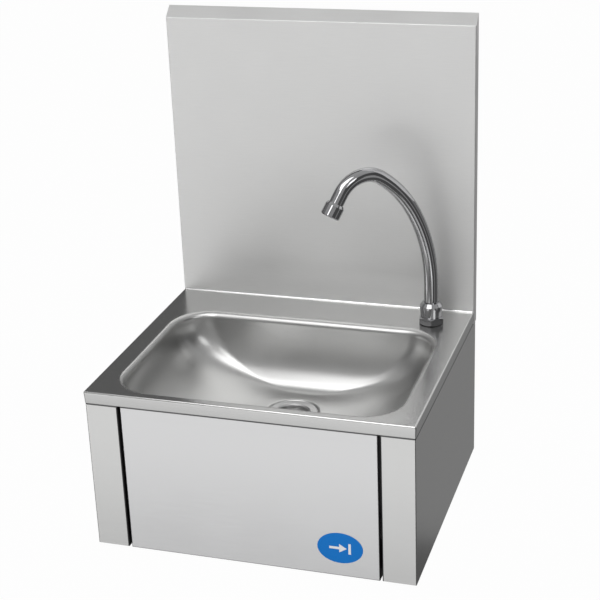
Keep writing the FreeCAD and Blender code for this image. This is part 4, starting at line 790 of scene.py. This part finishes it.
def thread_tree():
    """The tree that repeats one ring of a thread along the modifier's own Z axis."""
    tree = bpy.data.node_groups.new("thread_rings", "GeometryNodeTree")
    face = tree.interface
    face.new_socket("Geometry", in_out="OUTPUT", socket_type="NodeSocketGeometry")
    for label in ("radius", "depth", "pitch"):
        face.new_socket(label, in_out="INPUT", socket_type="NodeSocketFloat")
    face.new_socket("rings", in_out="INPUT", socket_type="NodeSocketInt")
    face.new_socket("finish", in_out="INPUT", socket_type="NodeSocketMaterial")
    given = tree.nodes.new("NodeGroupInput")
    result = tree.nodes.new("NodeGroupOutput")
    circle = tree.nodes.new("GeometryNodeCurvePrimitiveCircle")
    circle.inputs["Resolution"].default_value = 36
    section = tree.nodes.new("GeometryNodeCurvePrimitiveCircle")
    section.inputs["Resolution"].default_value = 4
    sweep = tree.nodes.new("GeometryNodeCurveToMesh")
    line = tree.nodes.new("GeometryNodeMeshLine")
    offset = tree.nodes.new("ShaderNodeCombineXYZ")
    repeat = tree.nodes.new("GeometryNodeInstanceOnPoints")
    real = tree.nodes.new("GeometryNodeRealizeInstances")
    paint = tree.nodes.new("GeometryNodeSetMaterial")
    tree.links.new(given.outputs["radius"], circle.inputs["Radius"])
    tree.links.new(given.outputs["depth"], section.inputs["Radius"])
    tree.links.new(circle.outputs["Curve"], sweep.inputs["Curve"])
    tree.links.new(section.outputs["Curve"], sweep.inputs["Profile Curve"])
    tree.links.new(given.outputs["rings"], line.inputs["Count"])
    tree.links.new(given.outputs["pitch"], offset.inputs["Z"])
    tree.links.new(offset.outputs["Vector"], line.inputs["Offset"])
    tree.links.new(line.outputs["Mesh"], repeat.inputs["Points"])
    tree.links.new(sweep.outputs["Mesh"], repeat.inputs["Instance"])
    tree.links.new(repeat.outputs["Instances"], real.inputs["Geometry"])
    tree.links.new(real.outputs["Geometry"], paint.inputs["Geometry"])
    tree.links.new(given.outputs["finish"], paint.inputs["Material"])
    tree.links.new(paint.outputs["Geometry"], result.inputs["Geometry"])
    return tree


thread_rings = thread_tree()


def cut_thread(name, foot, radius, length, pitch, finish):
    """Rings of a thread from `foot` upwards, their crests at `radius`."""
    piece = new_piece(name, [(0, 0, 0)], [], finish)
    modifier = piece.modifiers.new("thread", "NODES")
    modifier.node_group = thread_rings
    depth = thread_depth * pitch
    values = {"radius": radius - depth, "depth": depth, "pitch": pitch, "rings": int(length / pitch),
              "finish": finish}
    for socket in thread_rings.interface.items_tree:
        if socket.in_out == "INPUT":
            modifier[socket.identifier] = values[socket.name]
    evaluated = piece.evaluated_get(bpy.context.evaluated_depsgraph_get())
    mesh = bpy.data.meshes.new_from_object(evaluated)
    piece.modifiers.clear()
    piece.data = mesh
    mesh.transform(Matrix.Translation(Vector(foot) + Vector((0, 0, pitch / 2))))
    face_out(piece)
    for face in mesh.polygons:
        face.use_smooth = False
    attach(piece, "sink")


shank_r = 0.0108
shank_pitch = 0.0014
shank_cut = 0.040
cut_thread("shank_thread", (spout_x, spout_y, spout_low.z), shank_r, shank_cut, shank_pitch, brass)
union_r = 0.01045
union_pitch = 0.0018
union_cut = 0.0135
for union in ("cold_inlet_union", "hot_inlet_union"):
    union_low, union_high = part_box(union)
    union_centre = (union_low + union_high) / 2
    cut_thread(union + "_thread", (union_centre.x, union_centre.y, union_low.z), union_r, union_cut,
               union_pitch, brass)


# ---------------------------------------------------------------- the hose
# A rubber hose in a braid of stainless wire, from the valve round the back to the spout. Its
# strands cross over and under each other, and its ends are held in the ferrules.
hose_low, hose_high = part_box("outlet_hose")
hose_r = 0.006
hose_level = hose_low.z + hose_r
valve_run_y = hose_low.y + hose_r
level_bend = 0.090
rise_bend = 0.060
rubber_r = 0.0054
bore_r = 0.0040
strand_r = 0.00575           # how far a strand's middle lies from the hose's axis
strand_half = Vector((0.00088, 0.00012))
weave = 0.00012              # how far a strand rises and dips over and under the others
strands = 12
strand_pitch = 0.040
steps_a_turn = 60


def hose_middle(distance):
    """A point on the hose's axis and the hose's direction there, from the valve's end."""
    first_run = spout_x - level_bend - hose_low.x
    level_arc = level_bend * math.pi / 2
    second_run = (spout_y - rise_bend) - (valve_run_y + level_bend)
    rise_arc = rise_bend * math.pi / 2
    if distance <= first_run:
        return Vector((hose_low.x + distance, valve_run_y, hose_level)), Vector((1, 0, 0))
    distance -= first_run
    if distance <= level_arc:
        turn = distance / level_bend
        along = Vector((math.cos(turn), math.sin(turn), 0))
        centre = Vector((spout_x - level_bend, valve_run_y + level_bend, hose_level))
        return centre + level_bend * Vector((math.sin(turn), -math.cos(turn), 0)), along
    distance -= level_arc
    if distance <= second_run:
        return Vector((spout_x, valve_run_y + level_bend + distance, hose_level)), Vector((0, 1, 0))
    distance -= second_run
    if distance <= rise_arc:
        turn = distance / rise_bend
        along = Vector((0, math.cos(turn), math.sin(turn)))
        centre = Vector((spout_x, spout_y - rise_bend, hose_level + rise_bend))
        return centre + rise_bend * Vector((0, math.sin(turn), -math.cos(turn))), along
    distance -= rise_arc
    return Vector((spout_x, spout_y, hose_level + rise_bend + distance)), Vector((0, 0, 1))


hose_length = (spout_x - level_bend - hose_low.x + (spout_y - rise_bend) - (valve_run_y + level_bend)
               + (level_bend + rise_bend) * math.pi / 2 + hose_high.z - hose_level - rise_bend)
tube_stride = 6              # the rubber needs a ring only at every sixth step of the braid
hose_steps = tube_stride * round(hose_length / strand_pitch * steps_a_turn / tube_stride)
hose_frames = []
upward = Vector((0, 0, 1))
for step in range(hose_steps + 1):
    centre, along = hose_middle(hose_length * step / hose_steps)
    upward = (upward - upward.dot(along) * along).normalized()
    hose_frames.append((centre, upward, along.cross(upward)))

braid_points = []
braid_faces = []
for way in (-1, 1):
    for strand in range(strands):
        first = len(braid_points)
        for step, (centre, up, side) in enumerate(hose_frames):
            wound = math.tau * step / steps_a_turn
            height = strand_r + way * weave * math.cos(strands * wound)
            for spread, lift in ((-1, -1), (1, -1), (1, 1), (-1, 1)):
                angle = way * wound + math.tau * strand / strands + spread * strand_half.x / strand_r
                out = math.cos(angle) * up + math.sin(angle) * side
                braid_points.append(centre + (height + lift * strand_half.y) * out)
        for step in range(hose_steps):
            for corner in range(4):
                here = first + 4 * step + corner
                beside = first + 4 * step + (corner + 1) % 4
                braid_faces.append((here, beside, beside + 4, here + 4))
        braid_faces.append(tuple(first + corner for corner in range(4))[::-1])
        braid_faces.append(tuple(first + 4 * hose_steps + corner for corner in range(4)))
wires = grained("braid_wire", (0.0006, 0.0006, 0.0006), (0.60, 0.60, 0.60), 0.28, change=0.08, depth=0.6)
hose_braid = new_piece("hose_braid", braid_points, braid_faces, wires, smooth=False)
face_out(hose_braid)
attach(hose_braid, "sink")
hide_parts("outlet_hose")

tube_points = []
tube_faces = []
tube_sides = 24
tube_frames = hose_frames[::tube_stride]
for radius in (rubber_r, bore_r):
    for centre, up, side in tube_frames:
        for corner in range(tube_sides):
            angle = math.tau * corner / tube_sides
            tube_points.append(centre + radius * (math.cos(angle) * up + math.sin(angle) * side))
wall = tube_sides * len(tube_frames)
for corner in range(tube_sides):
    beside = (corner + 1) % tube_sides
    for row in range(len(tube_frames) - 1):
        below = row * tube_sides
        above = below + tube_sides
        tube_faces.append((below + corner, below + beside, above + beside, above + corner))
        tube_faces.append((wall + below + beside, wall + below + corner, wall + above + corner,
                           wall + above + beside))
    last = wall - tube_sides
    tube_faces.append((corner, wall + corner, wall + beside, beside))
    tube_faces.append((last + corner, last + beside, wall + last + beside, wall + last + corner))
hose_rubber = new_piece("hose_rubber", tube_points, tube_faces, rubber)
face_out(hose_rubber)
hard_edges(hose_rubber, 60)
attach(hose_rubber, "sink")


# ---------------------------------------------------------------- the spout
# A bent brass tube with its nozzle and swivel nut, all polished and chromed. The nut holds the
# tube to its shank, so that the spout can turn.
chrome = grained("chrome", (0.02, 0.02, 0.02), (0.49, 0.49, 0.50), 0.04, change=0.015, depth=0.05)
finish_nodes(chrome, "spout_tube", "aerator_housing", "spout_swivel_nut")


# ---------------------------------------------------------------- the waste
# The perforated grid is pressed from stainless sheet. A screw through its middle draws it down on
# the waste's white body.
finish_nodes(mill_finish, "waste_flange")
